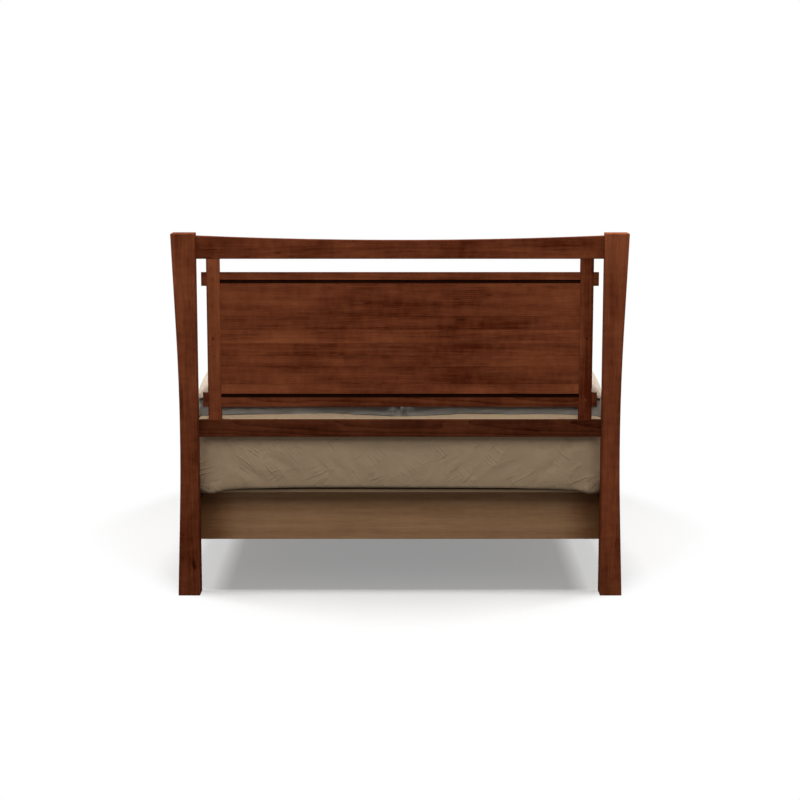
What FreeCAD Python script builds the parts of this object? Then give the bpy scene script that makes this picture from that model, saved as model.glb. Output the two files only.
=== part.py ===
"""Storage bed: two framed ends, side rails, a slatted deck over four drawers, a mattress and pillows.

Millimetres. The origin is on the floor under the middle of the bed, +Z is up and the head is towards +Y.
Left is the side of -X.
"""
import FreeCAD, Part
import math
import os
import re
import Sketcher

SIZES = {
    # Posts
    "post_depth": (80, "along the bed"),
    "head_post_height": (1346, ""),
    "foot_post_height": (700, ""),
    "post_foot_width": (80.5, "at the floor"),
    "post_waist_width": (63.4, "at the narrowest place"),
    "post_top_width": (85.3, ""),
    "waist_height_share": (0.468, "of a post's height"),
    "post_bend_share": (0.75, "of the radius that would leave no straight ends"),
    "post_easing": (2.5, "radius along the edges of the posts"),
    # Rails and stiles of the two ends
    "rail_thickness": (24, ""),
    "rail_setback": (50, "from the outer face of the posts"),
    "top_rail_height": (84.2, "at its ends"),
    "top_rail_drop": (11, "from the top of the posts"),
    "top_rail_sag": (16.2, "of the hollow upper edge"),
    "cross_rail_height": (63, ""),
    "head_cross_rail_bottom": (591.5, "above the floor"),
    "foot_cross_rail_bottom": (194, "above the floor"),
    "rail_easing": (2, "radius along the edges of the rails"),
    "tenon_thickness": (12, ""),
    "tenon_length": (35, "into a post"),
    "tenon_shoulder": (8, "above and below a tenon"),
    "stile_width": (49.4, ""),
    "stile_inset": (36.6, "from the inner face of a post"),
    "stile_easing": (10, "radius along the outer edges"),
    "stile_tenon_width": (26, ""),
    "stile_tenon_length": (25, "into a rail"),
    "joint_gap": (0.2, "between a tongue and its slot"),
    # Panels and the rails that hold them
    "head_upper_panel_rail_top": (1201.4, "above the floor"),
    "head_lower_panel_rail_bottom": (704, "above the floor"),
    "foot_upper_panel_rail_top": (568.5, "above the floor"),
    "foot_lower_panel_rail_bottom": (292, "above the floor"),
    "upper_panel_rail_height": (50, ""),
    "lower_panel_rail_height": (57.5, ""),
    "panel_rail_thickness": (18, ""),
    "panel_rail_setback": (3, "from the outer face of the stiles"),
    "panel_rail_easing": (1.2, "radius along the edges"),
    "horn_length": (18.6, "of a tenon beyond its stile"),
    "horn_thickness": (12, ""),
    "lower_horn_height": (52, ""),
    "panel_thickness": (12, ""),
    "panel_lap": (9, "over the lip of a rail"),
    "panel_reveal": (14, "open gap beside the upper and lower edges"),
    "panel_groove_depth": (8, "in a stile"),
    "peg_diameter": (8, ""),
    "peg_length": (20, ""),
    "peg_proud": (0.5, ""),
    # Side rails and their hooks
    "side_rail_face": (55, "outer face from the inner face of a post"),
    "side_rail_thickness": (25, ""),
    "side_rail_height": (90, ""),
    "plate_thickness": (3, ""),
    "plate_width": (18, ""),
    "plate_height": (76, ""),
    "hook_width": (4, ""),
    "hook_height": (15, ""),
    "hook_notch": (5, "depth of the notch under a hook"),
    "hook_tip": (6, "behind the catch plate"),
    "hook_spacing": (38, ""),
    "hook_lift": (7, "room to lift a hook out"),
    # Deck and storage base
    "deck_height": (380, "above the floor"),
    "slat_thickness": (13, ""),
    "slat_width": (90, ""),
    "slat_end_gap": (2, "to a side rail"),
    "end_slat_width": (130, "of the first and the last slat"),
    "slat_margin": (26, "from the ends of the mattress to the first and the last slat"),
    "slat_easing": (3, ""),
    "ledger_width": (25, ""),
    "ledger_height": (27, ""),
    "base_board_thickness": (18, "end panels, partition and beam"),
    "base_setback": (120, "of the end panels behind the inner faces of the posts"),
    "base_bottom": (168, "lower edge of the base above the floor"),
    "base_easing": (1, ""),
    "leg_width": (45, ""),
    "leg_spacing": (400, ""),
    "leg_easing": (3, ""),
    "leg_tenon_diameter": (12, ""),
    "leg_tenon_length": (30, ""),
    "leg_foot_gap": (18, "under a leg"),
    "leveller_diameter": (34, ""),
    "leveller_height": (8, ""),
    "stem_diameter": (8, ""),
    "stem_length": (30, "inside a leg"),
    # Drawers
    "drawer_gap": (3, "all round a drawer"),
    "drawer_depth": (640, "behind the front"),
    "box_lift": (9, "above the lower edge of the front"),
    "box_drop": (11, "below the upper edge of the front"),
    "box_side_thickness": (14, ""),
    "box_back_thickness": (12, ""),
    "box_back_inset": (12, "from the rear ends of the sides"),
    "box_bottom_thickness": (6, ""),
    "box_bottom_lift": (8, "above the lower edges of the sides"),
    "box_groove_depth": (5, ""),
    "front_slot_depth": (8, "for the ends of the sides"),
    "front_easing": (2, ""),
    "box_easing": (1.5, ""),
    "runner_height": (14, ""),
    "runner_reach": (6.5, "into a side"),
    "runner_play": (0.3, "round a runner in its slot"),
    "runner_inset": (8, "from the back of a front"),
    "knob_diameter": (34, ""),
    "knob_reach": (26, "out of the front"),
    "knob_neck_diameter": (15, ""),
    "knob_neck_length": (9, ""),
    "knob_rim": (9, "from the neck to the widest place"),
    "knob_spigot_diameter": (10, ""),
    "knob_spigot_length": (14, ""),
    "knob_spacing": (520, ""),
    # Mattress and pillows
    "mattress_width": (1524, ""),
    "mattress_length": (2032, ""),
    "mattress_side_gap": (13, "to a side rail"),
    "mattress_end_gap": (11.5, "to the posts"),
    "mattress_height": (288, "at the crown"),
    "mattress_crown": (3, "rise of the middle above the edges"),
    "mattress_corner": (42, "radius of the upper edges"),
    "mattress_foot_corner": (22, "radius of the lower edges"),
    "mattress_waist": (6, "by which the sides draw in"),
    "pillow_length": (756, "across the bed"),
    "pillow_depth": (480, "along the bed"),
    "pillow_waist": (14, "by which the long sides draw in"),
    "pillow_gap": (4, "between the two stacks"),
    "pillow_back": (110, "from the outer face of the posts"),
    "lower_pillow_height": (112, ""),
    "upper_pillow_height": (132, ""),
    "pillow_edge": (9, "thickness of the seam"),
    "pillow_lift": (12, "of the lower seam above the mattress"),
    "pillow_part": (14, "between the seams of a stack"),
    "pillow_clearance": (0.5, "under a pillow"),
    # Cutting
    "overrun": (1, "of a cut past a face"),
}

INNER_SLATS = 13
KNOB_SIDES = (-1, 1)
SIDES = {"left": -1, "right": 1}
ENDS = {"head": 1, "foot": -1}

# Places that several pieces share, as formulas of the sizes
RAIL_IN = "(mattress_width / 2 + mattress_side_gap)"
RAIL_OUT = f"({RAIL_IN} + side_rail_thickness)"
RAIL_MIDDLE = f"({RAIL_OUT} - side_rail_thickness / 2)"
POST_INSIDE = f"({RAIL_OUT} - side_rail_face)"
POST_FRONT = "(mattress_length / 2 + mattress_end_gap)"
POST_BACK = f"({POST_FRONT} + post_depth)"
STILE_OUT = f"({POST_INSIDE} - stile_inset)"
STILE_IN = f"({STILE_OUT} - stile_width)"
STILE_MIDDLE = f"({STILE_OUT} - stile_width / 2)"
DECK_UNDERSIDE = "(deck_height - slat_thickness)"
SIDE_RAIL_BOTTOM = f"({DECK_UNDERSIDE} - ledger_height)"
RAIL_MIDDLE_HEIGHT = f"({SIDE_RAIL_BOTTOM} + side_rail_height / 2)"
END_PANEL_OUT = f"({POST_FRONT} - base_setback)"
END_PANEL_IN = f"({END_PANEL_OUT} - base_board_thickness)"
PARTITION_FACE = "base_board_thickness / 2"
DECK_END = "(mattress_length / 2 - slat_margin)"
END_SLAT_IN = f"({DECK_END} - end_slat_width)"
FRONT_BACK = f"({RAIL_IN} + drawer_gap)"
FRONT_BOTTOM = "(base_bottom + drawer_gap)"
FRONT_TOP = f"({SIDE_RAIL_BOTTOM} - drawer_gap)"
BOX_BOTTOM = f"({FRONT_BOTTOM} + box_lift)"
BOX_TOP = f"({FRONT_TOP} - box_drop)"
BOX_NEAR = f"({PARTITION_FACE} + drawer_gap)"
BOX_FAR = f"({END_PANEL_IN} - drawer_gap)"
BOX_REAR = f"({FRONT_BACK} - drawer_depth)"
RUNNER_MIDDLE = f"({BOX_BOTTOM} + {BOX_TOP}) / 2"
KNOB_HEIGHT = f"({FRONT_BOTTOM} + {FRONT_TOP}) / 2"

doc = FreeCAD.newDocument("StorageBed")
sheet = doc.addObject("Spreadsheet::Sheet", "Sizes")
nodes = {}


def fill_sheet():
    """Each size gets a row: its name, its value under an alias, and what it measures."""
    for row, (alias, (number, meaning)) in enumerate(SIZES.items(), start=1):
        sheet.set(f"A{row}", alias)
        sheet.set(f"B{row}", str(number))
        sheet.setAlias(f"B{row}", alias)
        sheet.set(f"C{row}", meaning)
    doc.recompute()


def formula(text):
    """The text with each size's name pointed at the sheet."""
    return re.sub(r"[a-z_]+", lambda word: f"Sizes.{word[0]}" if word[0] in SIZES else word[0], text)


def value(text):
    """The number that a formula of sizes gives."""
    found = sheet.evalExpression(formula(text))
    return float(getattr(found, "Value", found))


def bind(thing, name, text):
    thing.setExpression(name, formula(text))


def place(thing, x, y, z):
    for axis, text in zip("xyz", (x, y, z)):
        bind(thing, f"Placement.Base.{axis}", text)


def node(name, thing):
    """Makes the finished thing a sub-part with this name."""
    thing.Label = name
    nodes[name] = thing
    return thing


def along(sign, low, high):
    """A span measured outwards from the middle of the bed, to either side."""
    return (low, high) if sign > 0 else (f"-({high})", f"-({low})")


def inwards(sign, start, stop):
    """A span along Y measured into the bed from the outer face of the posts of one end."""
    return along(sign, f"{POST_BACK} - ({stop})", f"{POST_BACK} - ({start})")


def about(middle, width):
    return f"({middle}) - ({width}) / 2", f"({middle}) + ({width}) / 2"


def wider(span, margin="joint_gap"):
    """The span, longer at both ends."""
    return f"({span[0]}) - {margin}", f"({span[1]}) + {margin}"


def box(name, x, y, z):
    solid = doc.addObject("Part::Box", name)
    for side, (low, high) in zip(("Length", "Width", "Height"), (x, y, z)):
        bind(solid, side, f"({high}) - ({low})")
    place(solid, x[0], y[0], z[0])
    return solid


def cylinder(name, diameter, x, y, z, turn=None):
    """A cylinder that starts at z and goes up, or along Y where it is turned."""
    low, high = y if turn else z
    solid = doc.addObject("Part::Cylinder", name)
    bind(solid, "Radius", f"({diameter}) / 2")
    bind(solid, "Height", f"({high}) - ({low})")
    if turn:
        solid.Placement = FreeCAD.Placement(FreeCAD.Vector(), turn)
    place(solid, x, y[0] if turn else y, z if turn else z[0])
    return solid


ALONG_Y = FreeCAD.Rotation(FreeCAD.Vector(1, 0, 0), -90)


def compound(name, things):
    group = doc.addObject("Part::Compound", name)
    group.Links = things
    return group


def cut(name, base, tools):
    """The base without the tools, which lie clear of each other."""
    result = doc.addObject("Part::Cut", name)
    result.Base = base
    result.Tool = tools[0] if len(tools) == 1 else compound(f"{name}_tools", tools)
    return result


def fuse(name, things):
    result = doc.addObject("Part::MultiFuse", name)
    result.Shapes = things
    return result


def mirrored(name, source):
    """The same piece on the other side of the bed."""
    result = doc.addObject("Part::Mirroring", name)
    result.Source = source
    result.Normal = FreeCAD.Vector(1, 0, 0)
    return result


def runs_along(edge, axis):
    """True for a straight or curved edge whose ends differ mostly along the axis."""
    first, last = edge.Vertexes[0].Point, edge.Vertexes[-1].Point
    step = last - first
    others = [abs(step[i]) for i in range(len(step)) if i != axis]
    return abs(step[axis]) > sum(others)


def ease(body, feature, size, choose, flat=False):
    """Rounds the chosen edges of the body's last feature, or cuts them off flat."""
    doc.recompute()
    names = [f"Edge{i}" for i, edge in enumerate(feature.Shape.Edges, start=1) if choose(edge)]
    easing = body.newObject("PartDesign::Chamfer" if flat else "PartDesign::Fillet", f"{body.Name}_easing")
    easing.Base = (feature, names)
    bind(easing, "Size" if flat else "Radius", size)
    body.Tip = easing


def board(name, x, y, z, axis=None, easing=None, choose=None):
    """A board with the edges along one axis rounded, or all edges if the axis isn't given."""
    body = doc.addObject("PartDesign::Body", f"{name}_board")
    block = body.newObject("PartDesign::AdditiveBox", f"{name}_block")
    for side, (low, high) in zip(("Length", "Width", "Height"), (x, y, z)):
        bind(block, side, f"({high}) - ({low})")
    place(body, x[0], y[0], z[0])
    if easing:
        ease(body, block, easing, choose or (lambda edge: axis is None or runs_along(edge, axis)))
    return body


def profile_body(name, draw, thickness, corner):
    """A body padded from a profile in the XZ plane, from its corner towards -Y."""
    body = doc.addObject("PartDesign::Body", f"{name}_body")
    sketch = body.newObject("Sketcher::SketchObject", f"{name}_profile")
    plane = next(item for item in body.Origin.OriginFeatures if item.Role == "XZ_Plane")
    sketch.AttachmentSupport = [(plane, "")]
    sketch.MapMode = "FlatFace"
    draw(sketch)
    pad = body.newObject("PartDesign::Pad", f"{name}_pad")
    pad.Profile = sketch
    bind(pad, "Length", thickness)
    place(body, *corner)
    return body, pad


def end_of(sketch, index, point):
    """Which end of a sketch's edge lies at the point, as the number the constraints use."""
    return min((1, 2), key=lambda end: (sketch.getPoint(index, end) - point).Length)


def pin_down(sketch, index, end, corner):
    """Ties one end of an edge to its corner's two formulas."""
    for kind, axis, text in (("DistanceX", -2, corner[0]), ("DistanceY", -1, corner[1])):
        if text == "0":
            sketch.addConstraint(Sketcher.Constraint("PointOnObject", index, end, axis))
        else:
            number = sketch.addConstraint(Sketcher.Constraint(kind, -1, 1, index, end, value(text)))
            bind(sketch, f"Constraints[{number}]", text)


def outline(sketch, corners, arcs=None, smooth=()):
    """A closed outline. A corner is two formulas, or a free point where the outline runs on smoothly.

    arcs gives, by the number of its first corner, a round stretch's radius and which side it bulges to.
    """
    arcs = arcs or {}
    free = [isinstance(corner, FreeCAD.Vector) for corner in corners]
    points = [corner if loose else FreeCAD.Vector(value(corner[0]), value(corner[1]), 0)
              for corner, loose in zip(corners, free)]
    count = len(points)
    for i, start in enumerate(points):
        stop = points[(i + 1) % count]
        if i in arcs:
            radius, bulge = value(arcs[i][0]), arcs[i][1]
            chord = stop - start
            rise = radius - math.sqrt(radius ** 2 - chord.Length ** 2 / 4)
            square = FreeCAD.Vector(chord.y, -chord.x, 0).normalize()
            sketch.addGeometry(Part.Arc(start, (start + stop) / 2 + square * rise * bulge, stop), False)
        else:
            sketch.addGeometry(Part.LineSegment(start, stop), False)
    for i, point in enumerate(points):
        before = (i - 1) % count
        ends = (before, end_of(sketch, before, point), i, end_of(sketch, i, point))
        sketch.addConstraint(Sketcher.Constraint("Tangent" if i in smooth else "Coincident", *ends))
        if not free[i]:
            pin_down(sketch, i, ends[3], corners[i])
    for i, (radius, _) in arcs.items():
        number = sketch.addConstraint(Sketcher.Constraint("Radius", i, value(radius)))
        bind(sketch, f"Constraints[{number}]", radius)


def touch_point(centre, radius, start, upwards):
    """Where a line from start touches a circle, on the side away from the circle's centre in X."""
    away = start - centre
    turn = -math.acos(radius / away.Length) * upwards
    spoke = FreeCAD.Rotation(FreeCAD.Vector(0, 0, 1), math.degrees(turn)).multVec(away)
    return centre + spoke * (radius / away.Length)


def draw_post(sketch, height):
    """A straight inner edge, and an outer edge that flares from a waist to the foot and to the top."""
    waist = f"({height} * waist_height_share)"
    radii, touches = [], []
    flares = (("post_foot_width", waist, 1), ("post_top_width", f"({height} - {waist})", -1))
    for width, rise, upwards in flares:
        flare = f"({width} - post_waist_width)"
        radii.append(f"post_bend_share * ({rise} * {rise} + {flare} * {flare}) / (2 * {flare})")
        centre = FreeCAD.Vector(value("post_waist_width") + value(radii[-1]), value(waist), 0)
        start = FreeCAD.Vector(value(width), 0 if upwards > 0 else value(height), 0)
        touches.append(touch_point(centre, value(radii[-1]), start, upwards))
    corners = [("0", "0"), ("post_foot_width", "0"), touches[0], ("post_waist_width", waist), touches[1],
               ("post_top_width", height), ("0", height)]
    outline(sketch, corners, arcs={2: (radii[0], -1), 3: (radii[1], -1)}, smooth=(2, 4))
    for arc in (2, 3):
        waist_end = end_of(sketch, arc, FreeCAD.Vector(value("post_waist_width"), value(waist), 0))
        sketch.addConstraint(Sketcher.Constraint("Horizontal", arc, 3, arc, waist_end))


def draw_top_rail(sketch):
    """A straight lower edge, and an upper edge that sags between its ends."""
    half = POST_INSIDE
    radius = f"({half} * {half} + top_rail_sag * top_rail_sag) / (2 * top_rail_sag)"
    corners = [(f"-({half})", "0"), (half, "0"), (half, "top_rail_height"), (f"-({half})", "top_rail_height")]
    outline(sketch, corners, arcs={2: (radius, -1)})


def top_rail_ends(end):
    """Height span of a top rail at its ends."""
    high = f"{end}_post_height - top_rail_drop"
    return f"({high}) - top_rail_height", high


def cross_rail_span(end):
    low = f"{end}_cross_rail_bottom"
    return low, f"{low} + cross_rail_height"


def upper_panel_rail_span(end):
    high = f"{end}_upper_panel_rail_top"
    return f"{high} - upper_panel_rail_height", high


def lower_panel_rail_span(end):
    low = f"{end}_lower_panel_rail_bottom"
    return low, f"{low} + lower_panel_rail_height"


def lower_horn_span(end):
    low = f"{end}_lower_panel_rail_bottom"
    return low, f"{low} + lower_horn_height"


def panel_span(end):
    return (f"({lower_panel_rail_span(end)[1]}) - panel_lap",
            f"({upper_panel_rail_span(end)[0]}) + panel_lap")


def rebate_span(end):
    """From shoulder to shoulder of the rebates that the panel lies in."""
    return wider(panel_span(end), "panel_reveal")


def tenon_height(span):
    return f"({span[0]}) + tenon_shoulder", f"({span[1]}) - tenon_shoulder"


def rail_depth(sign):
    return inwards(sign, "rail_setback", "rail_setback + rail_thickness")


def rail_core(sign, thickness):
    """A tongue in the middle of the rails' thickness."""
    middle = "rail_setback + rail_thickness / 2"
    return inwards(sign, f"{middle} - ({thickness}) / 2", f"{middle} + ({thickness}) / 2")


def panel_back(depth):
    """From the outer face of the posts to a place this deep in the panel rails."""
    return f"rail_setback + panel_rail_setback + ({depth})"


def make_post(end, sign):
    """Right and left post of one end, with the mortises of the rails and the seats of the catch plates."""
    height = f"{end}_post_height"
    back = inwards(sign, "0", "post_depth")
    body, pad = profile_body(f"{end}_post", lambda sketch: draw_post(sketch, height), "post_depth",
                             (POST_INSIDE, back[1], "0"))
    top = value(height) - value("post_easing")
    ease(body, pad, "post_easing",
         lambda edge: runs_along(edge, 2) or min(corner.Z for corner in edge.Vertexes) > top)
    tools = []
    for part, span in (("top", top_rail_ends(end)), ("cross", cross_rail_span(end))):
        tools.append(box(f"{end}_{part}_mortise",
                         (f"{POST_INSIDE} - overrun", f"{POST_INSIDE} + tenon_length + joint_gap"),
                         wider(rail_core(sign, "tenon_thickness")), wider(tenon_height(span))))
    tools.append(box(f"{end}_plate_seat", wider(about(RAIL_MIDDLE, "plate_width"), "joint_gap"),
                     inwards(sign, "post_depth - plate_thickness", "post_depth + overrun"),
                     wider(about(RAIL_MIDDLE_HEIGHT, "plate_height"))))
    for level in (-1, 1):
        bottom, top = hook_span(level)
        tools.append(box(f"{end}_hook_pocket_{level + 1}",
                         wider(about(RAIL_MIDDLE, "hook_width"), "2 * joint_gap"),
                         inwards(sign, "post_depth - 2 * plate_thickness - hook_tip",
                                 "post_depth - plate_thickness + joint_gap"),
                         (f"({bottom}) - joint_gap", f"({top}) + hook_lift")))
    right = node(f"{end}_post_right", cut(f"{end}_post_right", body, [fuse(f"{end}_post_pockets", tools)]))
    node(f"{end}_post_left", mirrored(f"{end}_post_left", right))


def hook_span(level):
    """Height span of the upper or lower hook of a side rail."""
    return about(f"{RAIL_MIDDLE_HEIGHT} + ({level}) * hook_spacing / 2", "hook_height")


def stile_mortises(end, sign, rail, low, high):
    return [box(f"{end}_{rail}_{side}_stile_mortise",
                wider(about(f"({way}) * {STILE_MIDDLE}", "stile_tenon_width")),
                wider(rail_core(sign, "tenon_thickness")), (low, high))
            for side, way in SIDES.items()]


def rail_tenons(end, sign, rail, span):
    return [box(f"{end}_{rail}_{side}_tenon", along(way, POST_INSIDE, f"{POST_INSIDE} + tenon_length"),
                rail_core(sign, "tenon_thickness"), tenon_height(span))
            for side, way in SIDES.items()]


def make_top_rail(end, sign):
    name = f"{end}_top_rail"
    low, high = top_rail_ends(end)
    body, pad = profile_body(name, draw_top_rail, "rail_thickness", ("0", rail_depth(sign)[1], low))
    ease(body, pad, "rail_easing", lambda edge: runs_along(edge, 0), flat=True)
    whole = fuse(f"{name}_with_tenons", [body] + rail_tenons(end, sign, "top_rail", (low, high)))
    mortises = stile_mortises(end, sign, "top_rail", f"({low}) - overrun",
                              f"({low}) + stile_tenon_length + joint_gap")
    node(name, cut(name, whole, mortises))


def make_cross_rail(end, sign):
    name = f"{end}_cross_rail"
    low, high = cross_rail_span(end)
    body = board(name, (f"-({POST_INSIDE})", POST_INSIDE), rail_depth(sign), (low, high), 0, "rail_easing")
    whole = fuse(f"{name}_with_tenons", [body] + rail_tenons(end, sign, "cross_rail", (low, high)))
    mortises = stile_mortises(end, sign, "cross_rail", f"({high}) - stile_tenon_length - joint_gap",
                              f"({high}) + overrun")
    node(name, cut(name, whole, mortises))


def peg_heights(end):
    """The pegs go through the middle of the two through tenons."""
    return {"upper": " + ".join(f"({edge}) / 2" for edge in upper_panel_rail_span(end)),
            "lower": " + ".join(f"({edge}) / 2" for edge in lower_horn_span(end))}


def peg_depth(sign, start):
    return inwards(sign, f"rail_setback - ({start})", "rail_setback + peg_length")


def peg_holes(end, sign, rail, side, levels):
    middle = f"({SIDES[side]}) * {STILE_MIDDLE}"
    return [cylinder(f"{end}_{rail}_{side}_{level}_peg_hole", "peg_diameter + joint_gap", middle,
                     peg_depth(sign, "overrun"), peg_heights(end)[level], ALONG_Y)
            for level in levels]


def make_stiles(end, sign):
    """A stile stands between the top and cross rails, is holed for the through tenons and grooved."""
    low, high = cross_rail_span(end)[1], top_rail_ends(end)[0]
    name = f"{end}_stile_right"

    def outer_edge(edge):
        return runs_along(edge, 2) and edge.CenterOfMass.x > value("stile_width") / 2

    body = board(name, (STILE_IN, STILE_OUT), rail_depth(sign), (low, high), 2, "stile_easing", outer_edge)
    tenon = box(f"{name}_tenons", about(STILE_MIDDLE, "stile_tenon_width"),
                rail_core(sign, "tenon_thickness"), wider((low, high), "stile_tenon_length"))
    through = (f"{STILE_IN} - overrun", f"{STILE_OUT} + overrun")
    slots = [box(f"{name}_{level}_slot", through, wider(rail_core(sign, "horn_thickness")), wider(span))
             for level, span in (("upper", upper_panel_rail_span(end)), ("lower", lower_horn_span(end)))]
    groove = box(f"{name}_groove", (f"{STILE_IN} - overrun", f"{STILE_IN} + panel_groove_depth + joint_gap"),
                 wider(inwards(sign, panel_back("0"), panel_back("panel_thickness"))), rebate_span(end))
    holes = peg_holes(end, sign, "stile", "right", ("upper", "lower"))
    tools = fuse(f"{name}_openings", slots + [groove] + holes)
    right = node(name, cut(name, fuse(f"{name}_with_tenons", [body, tenon]), [tools]))
    node(f"{end}_stile_left", mirrored(f"{end}_stile_left", right))


def make_panel_rails(end, sign):
    """The two rails that hold the panel, with tenons that stand out past the stiles as horns."""
    depth = inwards(sign, panel_back("0"), panel_back("panel_rail_thickness"))
    panel_seat = inwards(sign, panel_back("-overrun"), panel_back("panel_thickness + joint_gap"))
    shoulders = rebate_span(end)
    upper, lower = upper_panel_rail_span(end), lower_panel_rail_span(end)
    for level, span, horn, rebate in (
            ("upper", upper, upper, ("0", shoulders[1])),
            ("lower", lower, lower_horn_span(end), (shoulders[0], f"{end}_post_height"))):
        name = f"{end}_{level}_panel_rail"
        rail = board(name, (f"-{STILE_IN}", STILE_IN), depth, span, 0, "panel_rail_easing")
        horns = [box(f"{name}_{side}_horn", along(way, STILE_IN, f"{STILE_OUT} + horn_length"),
                     rail_core(sign, "horn_thickness"), horn) for side, way in SIDES.items()]
        reach = f"({STILE_IN} + panel_groove_depth + joint_gap)"
        seat = box(f"{name}_seat", (f"-{reach}", reach), panel_seat, rebate)
        holes = [hole for side in SIDES for hole in peg_holes(end, sign, f"{level}_rail", side, (level,))]
        node(name, cut(name, fuse(f"{name}_with_horns", [rail] + horns), [seat] + holes))


def make_panel(end, sign):
    """The panel floats in the grooves of the stiles and lies against the lips of its two rails."""
    half = f"({STILE_IN} + panel_groove_depth)"
    name = f"{end}_panel"
    node(name, board(name, (f"-{half}", half), inwards(sign, panel_back("0"), panel_back("panel_thickness")),
                     panel_span(end), 0, "panel_rail_easing"))


def make_pegs(end, sign):
    pegs = [cylinder(f"{end}_{side}_{level}_peg", "peg_diameter", f"({way}) * {STILE_MIDDLE}",
                     peg_depth(sign, "peg_proud"), height, ALONG_Y)
            for side, way in SIDES.items() for level, height in peg_heights(end).items()]
    node(f"{end}_pegs", compound(f"{end}_pegs", pegs))


def make_side_rails():
    """The side rails lie between the posts, and their ends are let in for the hook plates."""
    name = "side_rail_right"
    body = board(name, (RAIL_IN, RAIL_OUT), (f"-{POST_FRONT}", POST_FRONT),
                 (SIDE_RAIL_BOTTOM, f"{SIDE_RAIL_BOTTOM} + side_rail_height"), 1, "rail_easing")
    seats = [box(f"{name}_{end}_seat", wider(about(RAIL_MIDDLE, "plate_width")),
                 along(sign, f"{POST_FRONT} - plate_thickness", f"{POST_FRONT} + overrun"),
                 wider(about(RAIL_MIDDLE_HEIGHT, "plate_height"))) for end, sign in ENDS.items()]
    right = node(name, cut(name, body, seats))
    node("side_rail_left", mirrored("side_rail_left", right))


def make_plates():
    """Hook plates in the ends of the side rails, and the slotted catch plates that they drop into."""
    hooks, catches = [], []
    for end, sign in ENDS.items():
        for side, way in SIDES.items():
            name = f"{end}_{side}"
            middle = f"({way}) * {RAIL_MIDDLE}"
            height = about(RAIL_MIDDLE_HEIGHT, "plate_height")
            plate = box(f"{name}_hook_base", about(middle, "plate_width"),
                        along(sign, f"{POST_FRONT} - plate_thickness", POST_FRONT), height)
            catch = box(f"{name}_catch_base", about(middle, "plate_width"),
                        along(sign, POST_FRONT, f"{POST_FRONT} + plate_thickness"), height)
            tongues, slots = [], []
            catch_back = f"{POST_FRONT} + plate_thickness"
            for level in (-1, 1):
                low, high = hook_span(level)
                arm = box(f"{name}_arm_{level + 1}", about(middle, "hook_width"),
                          along(sign, POST_FRONT, f"{catch_back} + joint_gap + hook_tip"), (low, high))
                notch = box(f"{name}_notch_{level + 1}", wider(about(middle, "hook_width"), "overrun"),
                            along(sign, POST_FRONT, f"{catch_back} + joint_gap"),
                            (f"({low}) - overrun", f"({low}) + hook_notch"))
                tongues.append(cut(f"{name}_hook_{level + 1}", arm, [notch]))
                slots.append(box(f"{name}_slot_{level + 1}", wider(about(middle, "hook_width")),
                                 along(sign, f"{POST_FRONT} - overrun", f"{catch_back} + overrun"),
                                 (f"({low}) + hook_notch - joint_gap", f"({high}) + hook_lift")))
            hooks.append(fuse(f"{name}_hook_plate", [plate] + tongues))
            catches.append(cut(f"{name}_catch_plate", catch, slots))
    node("rail_hook_plates", compound("rail_hook_plates", hooks))
    node("post_catch_plates", compound("post_catch_plates", catches))


def make_base():
    """End panels, partition and beam of the storage base, which carry the deck."""
    for end, sign in ENDS.items():
        name = f"storage_panel_{end}"
        node(name, board(name, (f"-{RAIL_IN}", RAIL_IN), along(sign, END_PANEL_IN, END_PANEL_OUT),
                         ("base_bottom", DECK_UNDERSIDE), 0, "base_easing"))
    partition = board("storage_partition", (f"-{RAIL_IN}", RAIL_IN), about("0", "base_board_thickness"),
                      ("base_bottom", DECK_UNDERSIDE), 0, "base_easing")
    sockets = [cylinder(f"leg_socket_{number + 1}", "leg_tenon_diameter + joint_gap",
                        f"({number}) * leg_spacing", "0",
                        ("base_bottom - overrun", "base_bottom + leg_tenon_length + joint_gap"))
               for number in (-1, 0, 1)]
    node("storage_partition", cut("storage_partition", partition, sockets))
    height = ("base_bottom", DECK_UNDERSIDE)
    beams = [board(f"centre_beam_{end}", about("0", "base_board_thickness"),
                   along(sign, PARTITION_FACE, END_PANEL_IN), height, 1, "base_easing")
             for end, sign in ENDS.items()]
    node("centre_beam", compound("centre_beam", beams))


def make_legs():
    """Three legs under the partition, each on a threaded leveller."""
    legs, levellers = [], []
    for number in (-1, 0, 1):
        middle = f"({number}) * leg_spacing"
        shaft = board(f"centre_leg_{number + 1}", about(middle, "leg_width"), about("0", "leg_width"),
                      ("leg_foot_gap", "base_bottom"), 2, "leg_easing")
        tenon = cylinder(f"leg_tenon_{number + 1}", "leg_tenon_diameter", middle, "0",
                         ("base_bottom", "base_bottom + leg_tenon_length"))
        hole = cylinder(f"leg_hole_{number + 1}", "stem_diameter + joint_gap", middle, "0",
                        ("leg_foot_gap - overrun", "leg_foot_gap + stem_length + joint_gap"))
        legs.append(cut(f"leg_{number + 1}", fuse(f"leg_blank_{number + 1}", [shaft, tenon]), [hole]))
        pad = cylinder(f"pad_{number + 1}", "leveller_diameter", middle, "0", ("0", "leveller_height"))
        stem = cylinder(f"stem_{number + 1}", "stem_diameter", middle, "0",
                        ("leveller_height", "leg_foot_gap + stem_length"))
        nut = cylinder(f"collar_{number + 1}", "stem_diameter + leveller_height", middle, "0",
                       ("leveller_height", "leg_foot_gap"))
        levellers.append(fuse(f"leveller_{number + 1}", [pad, stem, nut]))
    node("centre_legs", compound("centre_legs", legs))
    node("leg_levellers", compound("leg_levellers", levellers))


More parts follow.
